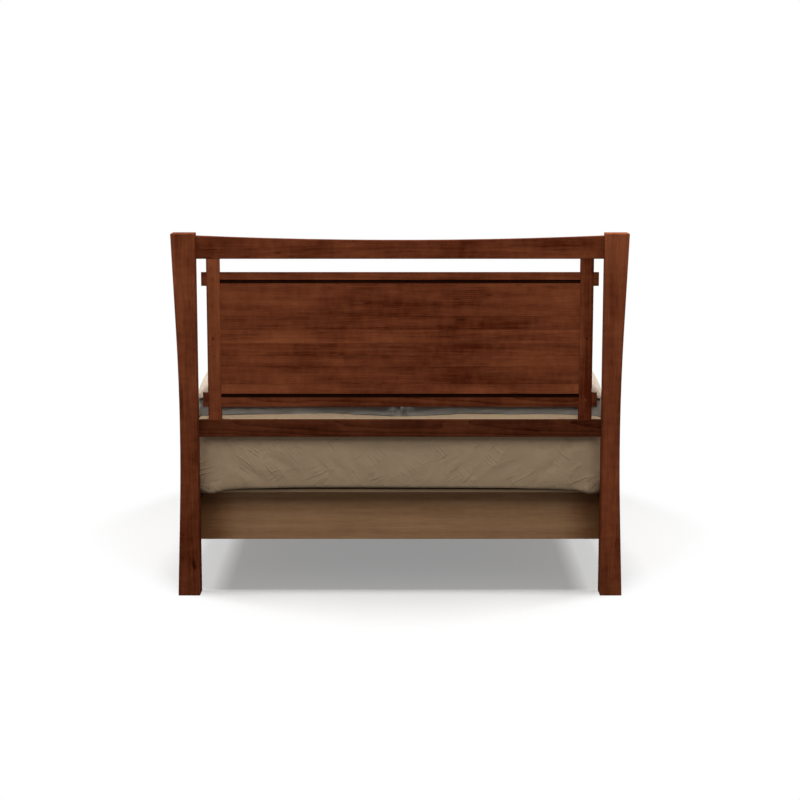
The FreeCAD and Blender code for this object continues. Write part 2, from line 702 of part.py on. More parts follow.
def make_deck():
    """Ledgers along the side rails, inside and outside the end panels, and the slats that lie on them."""
    ledgers = [box(f"ledger_{end}_{side}_{place}", along(way, f"{RAIL_IN} - ledger_width", RAIL_IN),
                   along(sign, *span), (SIDE_RAIL_BOTTOM, DECK_UNDERSIDE))
               for end, sign in ENDS.items() for side, way in SIDES.items()
               for place, span in (("inner", (PARTITION_FACE, END_PANEL_IN)), ("outer", (END_PANEL_OUT, DECK_END)))]
    node("slat_ledgers", compound("slat_ledgers", ledgers))
    reach = f"({RAIL_IN} - slat_end_gap)"
    height = (DECK_UNDERSIDE, "deck_height")
    slats = [board(f"end_slat_{end}", (f"-{reach}", reach), along(sign, END_SLAT_IN, DECK_END), height, 0,
                   "slat_easing") for end, sign in ENDS.items()]
    gap = f"(2 * {END_SLAT_IN} - {INNER_SLATS} * slat_width) / {INNER_SLATS + 1}"
    for number in range(INNER_SLATS):
        middle = f"({2 * number - INNER_SLATS + 1} / 2) * ({gap} + slat_width)"
        slats.append(board(f"slat_{number + 1}", (f"-{reach}", reach), about(middle, "slat_width"), height, 0,
                           "slat_easing"))
    node("deck_slats", compound("deck_slats", slats))


def make_runners():
    """Strips on the partition and the end panels, one for each side of each drawer."""
    height = about(RUNNER_MIDDLE, "runner_height")
    runners = []
    for end, sign in ENDS.items():
        for side, way in SIDES.items():
            reach = along(way, f"{BOX_REAR} + box_back_inset", f"{FRONT_BACK} - runner_inset")
            for wall, span in (("near", (PARTITION_FACE, f"{BOX_NEAR} + runner_reach")),
                               ("far", (f"{BOX_FAR} - runner_reach", END_PANEL_IN))):
                runners.append(box(f"runner_{end}_{side}_{wall}", reach, along(sign, *span), height))
    node("drawer_runners", compound("drawer_runners", runners))


def draw_knob(sketch):
    """Half of a turned knob: spigot, neck, rim and a low dome."""
    dome = "(knob_reach - knob_neck_length - knob_rim)"
    half = "(knob_diameter / 2)"
    radius = f"({half} * {half} + {dome} * {dome}) / (2 * {dome})"
    corners = [("-knob_spigot_length", "0"), ("-knob_spigot_length", "knob_spigot_diameter / 2"),
               ("0", "knob_spigot_diameter / 2"), ("0", "knob_neck_diameter / 2"),
               ("knob_neck_length", "knob_neck_diameter / 2"), ("knob_neck_length + knob_rim", half),
               ("knob_reach", "0")]
    outline(sketch, corners, arcs={5: (radius, -1)})


def knob(name, side, end, number):
    """A knob whose axis runs out of the drawer's front."""
    body = doc.addObject("PartDesign::Body", name)
    sketch = body.newObject("Sketcher::SketchObject", f"{name}_profile")
    plane = next(item for item in body.Origin.OriginFeatures if item.Role == "XY_Plane")
    sketch.AttachmentSupport = [(plane, "")]
    sketch.MapMode = "FlatFace"
    draw_knob(sketch)
    turned = body.newObject("PartDesign::Revolution", f"{name}_turned")
    turned.Profile = sketch
    turned.ReferenceAxis = (sketch, ["H_Axis"])
    if SIDES[side] < 0:
        body.Placement = FreeCAD.Placement(FreeCAD.Vector(), FreeCAD.Rotation(FreeCAD.Vector(0, 0, 1), 180))
    place(body, f"({SIDES[side]}) * {RAIL_OUT}", knob_place(end, number), KNOB_HEIGHT)
    return body


def knob_place(end, number):
    return f"({ENDS[end]}) * ({POST_FRONT} / 2) + ({number}) * knob_spacing / 2"


def make_drawer(side, end):
    """A drawer: its front, two sides, back and bottom, and its two knobs."""
    way, sign = SIDES[side], ENDS[end]
    name = f"drawer_{side}_{end}"
    height = (BOX_BOTTOM, BOX_TOP)
    bottom = (f"{BOX_BOTTOM} + box_bottom_lift", f"{BOX_BOTTOM} + box_bottom_lift + box_bottom_thickness")
    inner = (f"{BOX_NEAR} + box_side_thickness", f"{BOX_FAR} - box_side_thickness")
    back = (f"{BOX_REAR} + box_back_inset", f"{BOX_REAR} + box_back_inset + box_back_thickness")
    side_length = (BOX_REAR, f"{FRONT_BACK} + front_slot_depth")
    walls = {"near": (BOX_NEAR, inner[0]), "far": (inner[1], BOX_FAR)}
    grooves = {"near": (f"{inner[0]} - box_groove_depth - joint_gap", f"{inner[0]} + overrun"),
               "far": (f"{inner[1]} - overrun", f"{inner[1]} + box_groove_depth + joint_gap")}
    slots = {"near": (f"{BOX_NEAR} - overrun", f"{BOX_NEAR} + runner_reach + runner_play"),
             "far": (f"{BOX_FAR} - runner_reach - runner_play", f"{BOX_FAR} + overrun")}
    runner = wider(about(RUNNER_MIDDLE, "runner_height"), "runner_play")
    back_groove = (f"{back[1]} - box_groove_depth", f"{FRONT_BACK} + overrun")

    front = board(f"{name}_front", along(way, FRONT_BACK, RAIL_OUT),
                  along(sign, "drawer_gap / 2", f"{POST_FRONT} - drawer_gap"),
                  (FRONT_BOTTOM, FRONT_TOP), None, "front_easing")
    slot = along(way, f"{FRONT_BACK} - overrun", f"{FRONT_BACK} + front_slot_depth + joint_gap")
    groove = along(way, f"{FRONT_BACK} - overrun", f"{FRONT_BACK} + box_groove_depth + joint_gap")
    across_grooves = along(sign, grooves["near"][0], grooves["far"][1])
    tools = [box(f"{name}_{wall}_slot", slot, along(sign, *wider(span)), wider(height))
             for wall, span in walls.items()]
    tools.append(box(f"{name}_front_groove", groove, across_grooves, wider(bottom)))
    for number in KNOB_SIDES:
        hole = doc.addObject("Part::Cylinder", f"{name}_knob_hole_{number + 1}")
        bind(hole, "Radius", "(knob_spigot_diameter + joint_gap) / 2")
        bind(hole, "Height", "knob_spigot_length + joint_gap + overrun")
        outwards = FreeCAD.Rotation(FreeCAD.Vector(0, 1, 0), 90 * way)
        hole.Placement = FreeCAD.Placement(FreeCAD.Vector(), outwards)
        place(hole, f"({way}) * ({RAIL_OUT} - knob_spigot_length - joint_gap)", knob_place(end, number),
              KNOB_HEIGHT)
        tools.append(hole)
    node(f"{name}_front", cut(f"{name}_front", front, [fuse(f"{name}_front_cuts", tools)]))

    pair = []
    for wall, span in walls.items():
        plank = board(f"{name}_{wall}_side", along(way, *side_length), along(sign, *span), height, 0,
                      "box_easing")
        cuts = [box(f"{name}_{wall}_runner_slot", along(way, f"{BOX_REAR} - overrun", FRONT_BACK),
                    along(sign, *slots[wall]), runner),
                box(f"{name}_{wall}_groove", along(way, back_groove[0], f"{side_length[1]} + overrun"),
                    along(sign, *grooves[wall]), wider(bottom)),
                box(f"{name}_{wall}_dado", along(way, *wider(back)), along(sign, *grooves[wall]),
                    wider(height, "overrun"))]
        pair.append(cut(f"{name}_{wall}_wall", plank, [fuse(f"{name}_{wall}_cuts", cuts)]))
    node(f"{name}_sides", compound(f"{name}_sides", pair))

    between_sides = along(sign, f"{inner[0]} - box_groove_depth", f"{inner[1]} + box_groove_depth")
    back_board = board(f"{name}_back", along(way, *back), between_sides, height, 1, "box_easing")
    back_cut = box(f"{name}_back_groove", along(way, f"{back_groove[0]} - joint_gap", f"{back[1]} + overrun"),
                   across_grooves, wider(bottom))
    node(f"{name}_back", cut(f"{name}_back", back_board, [back_cut]))
    reach = along(way, back_groove[0], f"{FRONT_BACK} + box_groove_depth")
    node(f"{name}_bottom", box(f"{name}_bottom", reach, between_sides, bottom))
    knobs = [knob(f"{name}_knob_{number + 1}", side, end, number) for number in KNOB_SIDES]
    node(f"{name}_knobs", compound(f"{name}_knobs", knobs))


def loop(points, arcs):
    """A closed wire through the points, with an arc through a middle point where arcs has one."""
    edges = []
    for i, start in enumerate(points):
        stop = points[(i + 1) % len(points)]
        stretch = Part.Arc(start, arcs[i], stop) if i in arcs else Part.LineSegment(start, stop)
        edges.append(stretch.toShape())
    return Part.Wire(edges)


def soft_form(name, sections, straight=False):
    """A closed form through the sections, smooth or straight from one to the next."""
    form = doc.addObject("Part::Feature", name)
    form.Shape = Part.makeLoft(sections, True, straight)
    form.Placement = FreeCAD.Placement()
    return node(name, form)


def mattress_section(y, inset, drop):
    """Across the mattress: a flat base, rounded edges and a low crown."""
    half = value("mattress_width") / 2 - inset
    low, crown = value("deck_height"), value("mattress_crown")
    high = low + value("mattress_height") - drop
    upper, lower = value("mattress_corner"), value("mattress_foot_corner")
    shoulder = high - crown
    slant = 1 - math.sqrt(0.5)

    def point(x, z):
        return FreeCAD.Vector(x, y, z)

    points = [point(lower - half, low), point(half - lower, low), point(half, low + lower),
              point(half, shoulder - upper), point(half - upper, shoulder), point(upper - half, shoulder),
              point(-half, shoulder - upper), point(-half, low + lower)]
    arcs = {1: point(half - lower * slant, low + lower * slant),
            3: point(half - upper * slant, shoulder - upper * slant),
            4: point(0, high),
            5: point(upper * slant - half, shoulder - upper * slant),
            7: point(lower * slant - half, low + lower * slant)}
    return loop(points, arcs)


# Along half of the mattress: places as shares of the half length, and there the shares of the corner radius
# and of the waist by which the section is smaller
MATTRESS_LENGTH_SHARES = (1, 0.998, 0.991, 0.981, 0.965, 0.75, 0.5, 0.25, 0)
MATTRESS_CORNER_SHARES = (0.75, 0.45, 0.18, 0.05, 0, 0, 0, 0, 0)
MATTRESS_WAIST_SHARES = (0, 0, 0, 0, 0.1, 0.5, 0.8, 0.95, 1)


def make_mattress():
    half = value("mattress_length") / 2
    corner, waist = value("mattress_corner"), value("mattress_waist")
    shares = list(zip(MATTRESS_LENGTH_SHARES, MATTRESS_CORNER_SHARES, MATTRESS_WAIST_SHARES))
    shares += [(-length, round_in, draw_in) for length, round_in, draw_in in reversed(shares[:-1])]
    sections = [mattress_section(length * half, round_in * corner + draw_in * waist, round_in * corner / 2)
                for length, round_in, draw_in in shares]
    soft_form("mattress", sections, straight=True)


# Along a pillow: places as shares of its half length, and there the shares of its height and of its waist
PILLOW_LENGTH_SHARES = (-1, -0.93, -0.75, -0.45, -0.2, 0, 0.2, 0.45, 0.75, 0.93, 1)
PILLOW_HEIGHT_SHARES = (0, 0.36, 0.7, 0.92, 0.985, 1, 0.985, 0.92, 0.7, 0.36, 0)
PILLOW_WAIST_SHARES = (0.1, 0, 0.25, 0.75, 0.95, 1, 0.95, 0.75, 0.25, 0, 0.1)


def pillow_section(x, half_depth, edge, low, high):
    """Along the bed through a pillow: a seam at each end, and an underside and a top that bulge."""
    middle = value(f"{POST_BACK} - pillow_back - pillow_depth / 2")
    seam = edge + value("pillow_edge")

    def point(y, z):
        return FreeCAD.Vector(x, middle + y, z)

    points = [point(-half_depth, edge), point(half_depth, edge),
              point(half_depth, seam), point(-half_depth, seam)]
    arcs = {2: point(0, high)}
    if low != edge:
        arcs[0] = point(0, low)
    return loop(points, arcs)


def make_pillows():
    """Two pillows lie on each other on each side, the upper one bent over the lower."""
    seam, clear, lift = value("pillow_edge"), value("pillow_clearance"), value("pillow_lift")
    lower, upper = value("lower_pillow_height"), value("upper_pillow_height")
    spacing = value("pillow_length + pillow_gap")
    sink = value("mattress_crown") * (spacing / value("mattress_width")) ** 2
    lower_edge = value("deck_height + mattress_height") - sink + clear + lift
    upper_edge = lower_edge + seam + value("pillow_part")
    for side, way in SIDES.items():
        centre = way * spacing / 2
        below, above = [], []
        for length, share, draw_in in zip(PILLOW_LENGTH_SHARES, PILLOW_HEIGHT_SHARES, PILLOW_WAIST_SHARES):
            x = centre + length * value("pillow_length") / 2
            reach = value("pillow_depth") / 2 - draw_in * value("pillow_waist")
            low = lower_edge - lift * share
            between = max(low + lower * share, lower_edge + 2 * seam)
            high = max(between + upper * share, upper_edge + 2 * seam)
            below.append(pillow_section(x, reach, lower_edge, low, between))
            above.append(pillow_section(x, reach, upper_edge, between + clear, high))
        soft_form(f"pillow_lower_{side}", below)
        soft_form(f"pillow_upper_{side}", above)


def build():
    fill_sheet()
    for end, sign in ENDS.items():
        make_post(end, sign)
        make_top_rail(end, sign)
        make_cross_rail(end, sign)
        make_stiles(end, sign)
        make_panel_rails(end, sign)
        make_panel(end, sign)
        make_pegs(end, sign)
    make_side_rails()
    make_plates()
    make_base()
    make_legs()
    make_deck()
    make_runners()
    for side in SIDES:
        for end in ENDS:
            make_drawer(side, end)
    make_mattress()
    make_pillows()
    doc.recompute()


def check():
    """Stops if anything in the document failed, or a sub-part has no sound solid."""
    for thing in doc.Objects:
        if "Invalid" in thing.State or "Error" in thing.State:
            raise RuntimeError(f"{thing.Label} failed: {thing.State}")
    for name, thing in nodes.items():
        if thing.Shape.isNull() or not thing.Shape.isValid() or not thing.Shape.Solids:
            raise RuntimeError(f"{name} has no sound solid")


def export():
    os.makedirs("parts", exist_ok=True)
    for name, thing in nodes.items():
        thing.Shape.exportStep(f"parts/{name}.step")
        corners = thing.Shape.BoundBox
        print(f"{name}: {len(thing.Shape.Solids)} solids, {thing.Shape.Volume / 1e6:.3f} litres,"
              f" x {corners.XMin:.1f} to {corners.XMax:.1f}, y {corners.YMin:.1f} to {corners.YMax:.1f},"
              f" z {corners.ZMin:.1f} to {corners.ZMax:.1f}")
    print(len(nodes), "sub-parts")


build()
check()
export()
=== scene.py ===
"""Dresses the storage bed: stained cherry, plywood, drawer woods and steel on the frame's own pieces, a
mattress in a fitted sheet, four pillows in their cases, and a white studio. Lengths are in metres."""

import math

import bpy
import numpy as np
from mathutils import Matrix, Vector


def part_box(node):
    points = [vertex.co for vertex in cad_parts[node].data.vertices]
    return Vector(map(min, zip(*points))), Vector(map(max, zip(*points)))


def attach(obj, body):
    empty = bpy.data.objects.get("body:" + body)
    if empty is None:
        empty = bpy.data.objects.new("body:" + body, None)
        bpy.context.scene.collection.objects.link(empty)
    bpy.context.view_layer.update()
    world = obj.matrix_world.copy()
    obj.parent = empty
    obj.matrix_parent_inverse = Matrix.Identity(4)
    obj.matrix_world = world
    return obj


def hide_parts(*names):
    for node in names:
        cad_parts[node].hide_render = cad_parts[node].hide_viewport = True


bl_info = {
    "name": "Storage Bed",
    "version": (1, 0, 0),
    "blender": (4, 5, 0),
    "location": "View3D > Sidebar > Storage Bed",
    "description": "Finishes the storage bed, makes its mattress, sheet and pillows, and sets the studio",
    "category": "Object",
}

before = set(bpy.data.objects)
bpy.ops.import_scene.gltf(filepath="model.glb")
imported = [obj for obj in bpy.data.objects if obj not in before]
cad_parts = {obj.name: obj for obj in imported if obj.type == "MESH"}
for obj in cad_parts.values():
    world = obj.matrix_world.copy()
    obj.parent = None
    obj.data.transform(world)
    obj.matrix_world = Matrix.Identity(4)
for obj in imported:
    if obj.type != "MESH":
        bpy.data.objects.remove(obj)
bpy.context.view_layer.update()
ENDS = ("head", "foot")
SIDES = ("left", "right")
DRAWERS = tuple(f"drawer_{side}_{end}" for side in SIDES for end in ENDS)

# Bumps in a metre of each noise in the wood and of its flecks, along the fibres and across them.
BEND, STREAK, FIBRE, RIPPLE, PATCH, FLECK = (1.3, 6), (1.8, 42), (14, 420), (44, 22), (4.5, 11), (9, 34)
# How far each of them, the rings and the chance of a board sway the wood between dark and light.
STREAK_SWAY, FIBRE_SWAY, RIPPLE_SWAY, PATCH_SWAY, RING_SWAY, BOARD_SWAY = 0.8, 0.6, 0.45, 1.25, 0.14, 0.12
# The trees that the boards come from: their height, the ring's width, how far a ring leans out in a metre,
# how far slow noise bends it, how deep behind the face the heart lies, and how far that varies.
TRUNK, RING_WIDTH, TAPER, RING_BEND, HEART_DEPTH, HEART_PLAY = 9, 0.0058, 0.011, 0.03, 0.06, 0.08

# Heights of the glued seams in the panel of each end, with the step in tone at each.
PANEL_SEAMS = {
    "head": ((0.789, -0.19), (0.854, 0.07), (0.895, -0.13), (0.940, 0.17), (0.9915, -0.15), (1.041, 0.04)),
    "foot": ((0.39, -0.12), (0.46, 0.1)),
}
# The groove that holds a panel, whose shade is painted in almost black: its half length along x, how far it
# reaches over the panel and into the rail, and from where to where it lies along y.
GROOVE_HALF, GROOVE_OVER, GROOVE_INTO, GROOVE_DEPTHS = 0.68, 0.02, 0.0145, (1.039, 1.052)

# A point of the mattress's walls that lies further along y than this belongs to one of the two ends.
END_WALL = 0.97
# The cubic in which the sheet and the core turn in at their lower edge: its width and height.
SHEET_FOOT, CORE_FOOT = (0.010, 0.095), (0.009, 0.095)

# Each pillow of a pair: how high its seam lies over its node's lowest point and how far its lower face rises
# from there, the fullness of its outer side and its headboard side, and how far it stands out on those.
PILLOW_LAYERS = (("lower", (0.003, -0.0025), 5.0, (0.026, 0.006)), ("upper", (0.008, 0.072), 2.6, (0, 0)))

# Place, target, size and power of each lamp, and the two that shine past the floor, so that it keeps the
# shadow of the bed.
LAMPS = {
    "lamp_top": ((0, 1.15, 6.5), (0, 1.15, 0), (2.0, 0.5), 195),
    "lamp_head": ((0, 4.7, 3.9), (0, 1.0, 0.7), (6.0, 2.8), 165),
    "lamp_foot": ((0, -5.0, 3.4), (0, -0.6, 0.5), (2.4, 1.4), 92),
    "lamp_left": ((-3.3, 0.4, 3.9), (0, 0.4, 0.3), (2.0, 1.4), 98),
    "lamp_right": ((3.3, 0.4, 3.9), (0, 0.4, 0.3), (2.0, 1.4), 98),
}
PAST_FLOOR = ("lamp_head", "lamp_foot")
# Half width and half length of the shaded part of the floor round the bed, and half the whole floor's side.
SHADE_HALF, FLOOR_HALF = (1.34, 1.7), 30.0


def shade(*levels):
    """Red, green and blue levels from 0 to 255, as seen, as the linear colour that a socket holds."""
    part = np.array(levels) / 255
    return tuple(float(v) for v in np.where(part <= 0.04045, part / 12.92, ((part + 0.055) / 1.055) ** 2.4))


class BedWoods(bpy.types.PropertyGroup):
    """Colours and gloss of the woods and the steel."""

    cherry: bpy.props.FloatVectorProperty(
        name="Cherry", description="Stained cherry where it is lightest", subtype="COLOR", size=3,
        default=shade(139, 76, 47), min=0, max=1)
    cherry_dark: bpy.props.FloatVectorProperty(
        name="Dark Cherry", description="Stained cherry in its figure and rings", subtype="COLOR", size=3,
        default=shade(74, 28, 11), min=0, max=1)
    plywood: bpy.props.FloatVectorProperty(
        name="Plywood", description="Face of the plywood of the storage base", subtype="COLOR", size=3,
        default=shade(167, 131, 97), min=0, max=1)
    # Pine colour, darkened beyond bare pine as painted shade for the deck's edge under the mattress.
    pine: bpy.props.FloatVectorProperty(
        name="Pine", description="Slats, ledgers, beam and legs", subtype="COLOR", size=3,
        default=shade(152, 127, 99), min=0, max=1)
    maple: bpy.props.FloatVectorProperty(
        name="Maple", description="Drawer boxes and runners", subtype="COLOR", size=3,
        default=shade(214, 186, 146), min=0, max=1)
    steel: bpy.props.FloatVectorProperty(
        name="Steel", description="Hook plates, catch plates and levellers", subtype="COLOR", size=3,
        default=shade(186, 188, 190), min=0, max=1)
    satin: bpy.props.FloatProperty(
        name="Satin", description="Roughness of the oiled cherry", subtype="FACTOR",
        default=0.46, min=0, max=1)


class BedLinen(bpy.types.PropertyGroup):
    """The mattress, its fitted sheet and the pillows."""

    sheet: bpy.props.FloatVectorProperty(
        name="Sheet", description="Colour of the fitted sheet", subtype="COLOR", size=3,
        default=shade(181, 155, 124), min=0, max=1)
    pillowcase: bpy.props.FloatVectorProperty(
        name="Pillowcase", description="Colour of the upper pillows' cases", subtype="COLOR", size=3,
        default=shade(235, 219, 199), min=0, max=1)
    # A grey copy of the pillowcase colour: painted shade for the lower pillows, which lie in the headboard's
    # shadow.
    shaded_case: bpy.props.FloatVectorProperty(
        name="Under Case", description="Colour of the lower pillows' cases", subtype="COLOR", size=3,
        default=shade(160, 156, 147), min=0, max=1)
    ticking: bpy.props.FloatVectorProperty(
        name="Ticking", description="Colour of the mattress under its sheet", subtype="COLOR", size=3,
        default=shade(228, 224, 214), min=0, max=1)
    corner: bpy.props.FloatProperty(
        name="Corner", description="Radius of the mattress corners, seen from above", unit="LENGTH",
        default=0.04, min=0.03, max=0.12)
    edge: bpy.props.FloatProperty(
        name="Edge", description="Radius of the mattress's upper edges", unit="LENGTH",
        default=0.036, min=0.02, max=0.055)
    spare: bpy.props.FloatProperty(
        name="Spare Cloth", description="Share by which the sheet is wider than the mattress's sides",
        subtype="FACTOR", default=0.014, min=0, max=0.08)
    mesh_step: bpy.props.FloatProperty(
        name="Mesh Step", description="Size of the sheet's and the pillows' faces", unit="LENGTH",
        default=0.0125, min=0.005, max=0.05)


class BedStudio(bpy.types.PropertyGroup):
    """The camera and the lights."""

    lens: bpy.props.FloatProperty(
        name="Lens", description="Focal length of the camera in millimetres", default=82.8, min=10, max=300)
    camera_distance: bpy.props.FloatProperty(
        name="Camera Distance", description="From the middle of the bed to the camera, on the floor",
        unit="LENGTH", default=7.7575, min=1)
    camera_height: bpy.props.FloatProperty(
        name="Camera Height", description="Of the camera above the floor", unit="LENGTH", default=1.82, min=0)
    camera_pitch: bpy.props.FloatProperty(
        name="Camera Pitch", description="By which the camera looks down", unit="ROTATION",
        default=math.radians(9.24))
    lamp_power: bpy.props.FloatProperty(
        name="Lamp Power", description="Factor on the power of all the lamps", default=1.0, min=0)
    sky: bpy.props.FloatProperty(
        name="Sky", description="Strength of the even light from all sides", default=0.16, min=0)
    floor_glow: bpy.props.FloatProperty(
        name="Floor Glow", description="Level of the floor in the deepest shadow", default=0.28, min=0, max=1)


class Value:
    """A number that varies over a surface: its sums, products and comparisons add Math nodes."""

    def __init__(self, tree, socket):
        self.tree, self.socket = tree, socket

    def math(self, operation, *parts, clamp=False):
        return self.tree.value("ShaderNodeMath", parts, operation=operation, use_clamp=clamp)

    def __add__(self, other):
        return self.math("ADD", self, other)

    def __radd__(self, other):
        return self.math("ADD", other, self)

    def __sub__(self, other):
        return self.math("SUBTRACT", self, other)

    def __rsub__(self, other):
        return self.math("SUBTRACT", other, self)

    def __mul__(self, other):
        return self.math("MULTIPLY", self, other)

    def __rmul__(self, other):
        return self.math("MULTIPLY", other, self)

    def __truediv__(self, other):
        return self.math("DIVIDE", self, other)

    def __pow__(self, other):
        return self.math("POWER", self, other)

    def __gt__(self, other):
        return self.math("GREATER_THAN", self, other)

    def __lt__(self, other):
        return self.math("LESS_THAN", self, other)

    def __abs__(self):
        return self.math("ABSOLUTE", self)

    def whole(self):
        return self.math("FLOOR", self)

    def part(self):
        return self.math("FRACT", self)

    def sine(self):
        return self.math("SINE", self)

    def held(self):
        """Kept between 0 and 1."""
        return self.math("ADD", self, 0, clamp=True)

    def smooth(self, low, high):
        """0 at low and before, 1 at high and after, and an S between them."""
        return self.tree.value("ShaderNodeMapRange", {"Value": self, "From Min": low, "From Max": high},
                               interpolation_type="SMOOTHSTEP")


class Tree:
    """The nodes of a material or of the world."""

    def __init__(self, owner):
        self.owner = owner
        owner.use_nodes = True
        self.nodes, self.links = owner.node_tree.nodes, owner.node_tree.links
        self.nodes.clear()

    def add(self, kind, sockets=(), **settings):
        """Adds a node: first its settings, then the values or links of its sockets by place or name."""
        node = self.nodes.new(kind)
        for name, setting in settings.items():
            setattr(node, name, setting)
        for place, given in sockets.items() if isinstance(sockets, dict) else enumerate(sockets):
            given = given.socket if isinstance(given, Value) else given
            if isinstance(given, bpy.types.NodeSocket):
                self.links.new(given, node.inputs[place])
            elif given is not None:
                node.inputs[place].default_value = given
        return node

    def value(self, kind, sockets=(), out=0, **settings):
        return Value(self, self.add(kind, sockets, **settings).outputs[out])

    def place(self):
        """The point's x, y and z on the bed."""
        return self.split(self.add("ShaderNodeTexCoord").outputs["Object"])

    def seen(self):
        """1 for what the camera sees, by itself, in a gloss or through glass, and 0 for what lights."""
        ray = self.add("ShaderNodeLightPath").outputs
        return (Value(self, ray["Is Camera Ray"]) + Value(self, ray["Is Glossy Ray"])
                + Value(self, ray["Is Transmission Ray"])).held()

    def split(self, vector):
        node = self.add("ShaderNodeSeparateXYZ", (vector,))
        return [Value(self, node.outputs[axis]) for axis in range(3)]

    def join(self, x, y, z):
        return self.add("ShaderNodeCombineXYZ", (x, y, z)).outputs[0]

    def noise(self, x, y, z, detail=2.0, roughness=0.5):
        """Smooth chance about 0.5, with one bump for each step of 1 of x, y and z."""
        return self.value("ShaderNodeTexNoise", {"Vector": self.join(x, y, z), "Scale": 1.0, "Detail": detail,
                                                 "Roughness": roughness})

    def mix(self, share, first, second):
        """The first colour where share is 0 and the second where it is 1."""
        first, second = (c if isinstance(c, bpy.types.NodeSocket) else (*c, 1.0) for c in (first, second))
        return self.add("ShaderNodeMix", {0: share, 6: first, 7: second}, data_type="RGBA").outputs[2]

    def finish(self, colour, roughness, height=None, depth=0.001, **fixed):
        """Closes the material: colour, roughness and a bump of the given depth, and the fixed numbers of
        the shader's other sockets by name."""
        shader = self.add("ShaderNodeBsdfPrincipled", {"Base Color": colour, "Roughness": roughness, **{
            name.replace("_", " "): number for name, number in fixed.items()}})
        if height is not None:
            bump = self.add("ShaderNodeBump", {"Height": height, "Distance": depth, "Strength": 1.0})
            self.links.new(bump.outputs[0], shader.inputs["Normal"])
        self.add("ShaderNodeOutputMaterial", (shader.outputs[0],))
        return self.owner


def wood(name, node, grain, light, dark, seed, seams=(), pitch=None, rings=1.0, flecks=1.0, satin=0.5,
         coat=0.0, tone=0.0, slope=0.0, fade=(0.0, 0.1), figure=1.0, spots=(), recess=None):
    """Oiled wood on a node. grain names the axes along the fibres, across the face and into the board.

    Rings are shells round the heart of each board's own tree: the share of a ring is the fractional part
    of the distance from the heart, bent by slow noise, over the ring width. Over them lie noises that are
    long along the fibres: streaks, wide patches and fine fibres, and one that is short along them, the
    ripple of curly cherry. tone is how much lighter the whole piece is, slope how much lighter it gets from
    its middle to its far end, and fade how much lighter to both ends and from which share of the way there.
    seams are where one board of a glued-up panel ends and the next begins, each with the step in tone there.
    pitch is the axis, start, end and number of like boards that lie in a row. spots are dark knots:
    (across, along, size). recess is a groove whose shade is painted in, almost black: the furthest along,
    the lowest and highest across, and the same into the board."""
    tree = Tree(bpy.data.materials.new(name))
    low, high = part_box(node)
    order = ["xyz".index(axis) for axis in grain]
    place = tree.place()
    run, across, deep = (place[axis] for axis in order)
    middle = [(low[axis] + high[axis]) / 2 for axis in order]
    board = seed
    for seam, step in seams:
        above = across > seam
        board, tone = board + above, tone + above * step
    if pitch:
        axis, start, stop, number = pitch
        board = seed + (((place[axis] - start) / (stop - start)).held() * (number - 0.001)).whole()
    dice = tree.add("ShaderNodeTexWhiteNoise", {"W": board}, noise_dimensions="1D")
    chance = tree.split(dice.outputs["Color"])
    far = run + chance[0] * TRUNK
    side = across - middle[1] + (chance[1] - 0.5) * HEART_PLAY
    into = deep - middle[2] - HEART_DEPTH - chance[2] * HEART_PLAY

    def spread(bumps):
        return far * bumps[0], side * bumps[1], into * bumps[1]

    bent = tree.noise(*spread(BEND), detail=3)
    streak = tree.noise(*spread(STREAK), detail=3, roughness=0.6)
    patch = tree.noise((run + seed * 3.7) * PATCH[0], across * PATCH[1], deep * PATCH[1], detail=4)
    fibre = tree.noise(*spread(FIBRE))
    ripple = tree.noise(*spread(RIPPLE))
    distance = (side * side + into * into) ** 0.5 + (bent - 0.5) * RING_BEND + far * TAPER
    ring = (distance / RING_WIDTH).part() ** 2.2
    half = (high[order[0]] - low[order[0]]) / 2
    share = (0.5 + tone + (streak - 0.5) * STREAK_SWAY + (patch - 0.5) * PATCH_SWAY * figure
             + (ripple - 0.5) * RIPPLE_SWAY * figure + (fibre - 0.5) * FIBRE_SWAY - ring * RING_SWAY * rings
             + (chance[2] - 0.5) * BOARD_SWAY)
    off = (run - middle[0]) / half
    share = share + off * slope + abs(off).smooth(fade[1], 1.0) * fade[0]
    colour = tree.mix(share.held(), dark, light)
    cell = tree.add("ShaderNodeTexVoronoi", {"Vector": tree.join(*spread(FLECK)), "Scale": 1.0})
    one_in_ten = tree.split(cell.outputs["Color"])[0] > 0.9
    fleck = (1 - Value(tree, cell.outputs["Distance"]).smooth(0.05, 0.2)) * one_in_ten * 0.55 * flecks
    for spot_across, spot_along, size in spots:
        off = ((abs(across) - spot_across) ** 2 + ((run - spot_along) * 0.6) ** 2) ** 0.5
        fleck = fleck + (1 - off.smooth(size * 0.25, size)) * 0.7
    colour = tree.mix(fleck.held(), colour, tuple(0.3 * part for part in dark))
    for seam, step in seams:
        colour = tree.mix((1 - abs(across - seam).smooth(0.0002, 0.0016)) * 0.3, colour,
                          tuple(0.4 * part for part in dark))
    # Painted shade: inside the groove the colour goes almost to black.
    if recess:
        furthest, low_across, high_across, low_deep, high_deep = recess
        groove_shade_mask = ((abs(run) < furthest) * (across > low_across) * (across < high_across)
                  * (abs(deep) > low_deep) * (abs(deep) < high_deep) * 0.88)
        colour = tree.mix(groove_shade_mask, colour, tuple(0.15 * part for part in dark))
    return tree.finish(colour, satin + (fibre - 0.5) * 0.2, fibre * 0.6 + ring * 0.3, 0.0003,
                       Specular_IOR_Level=0.0, Coat_Weight=coat, Coat_Roughness=0.4)


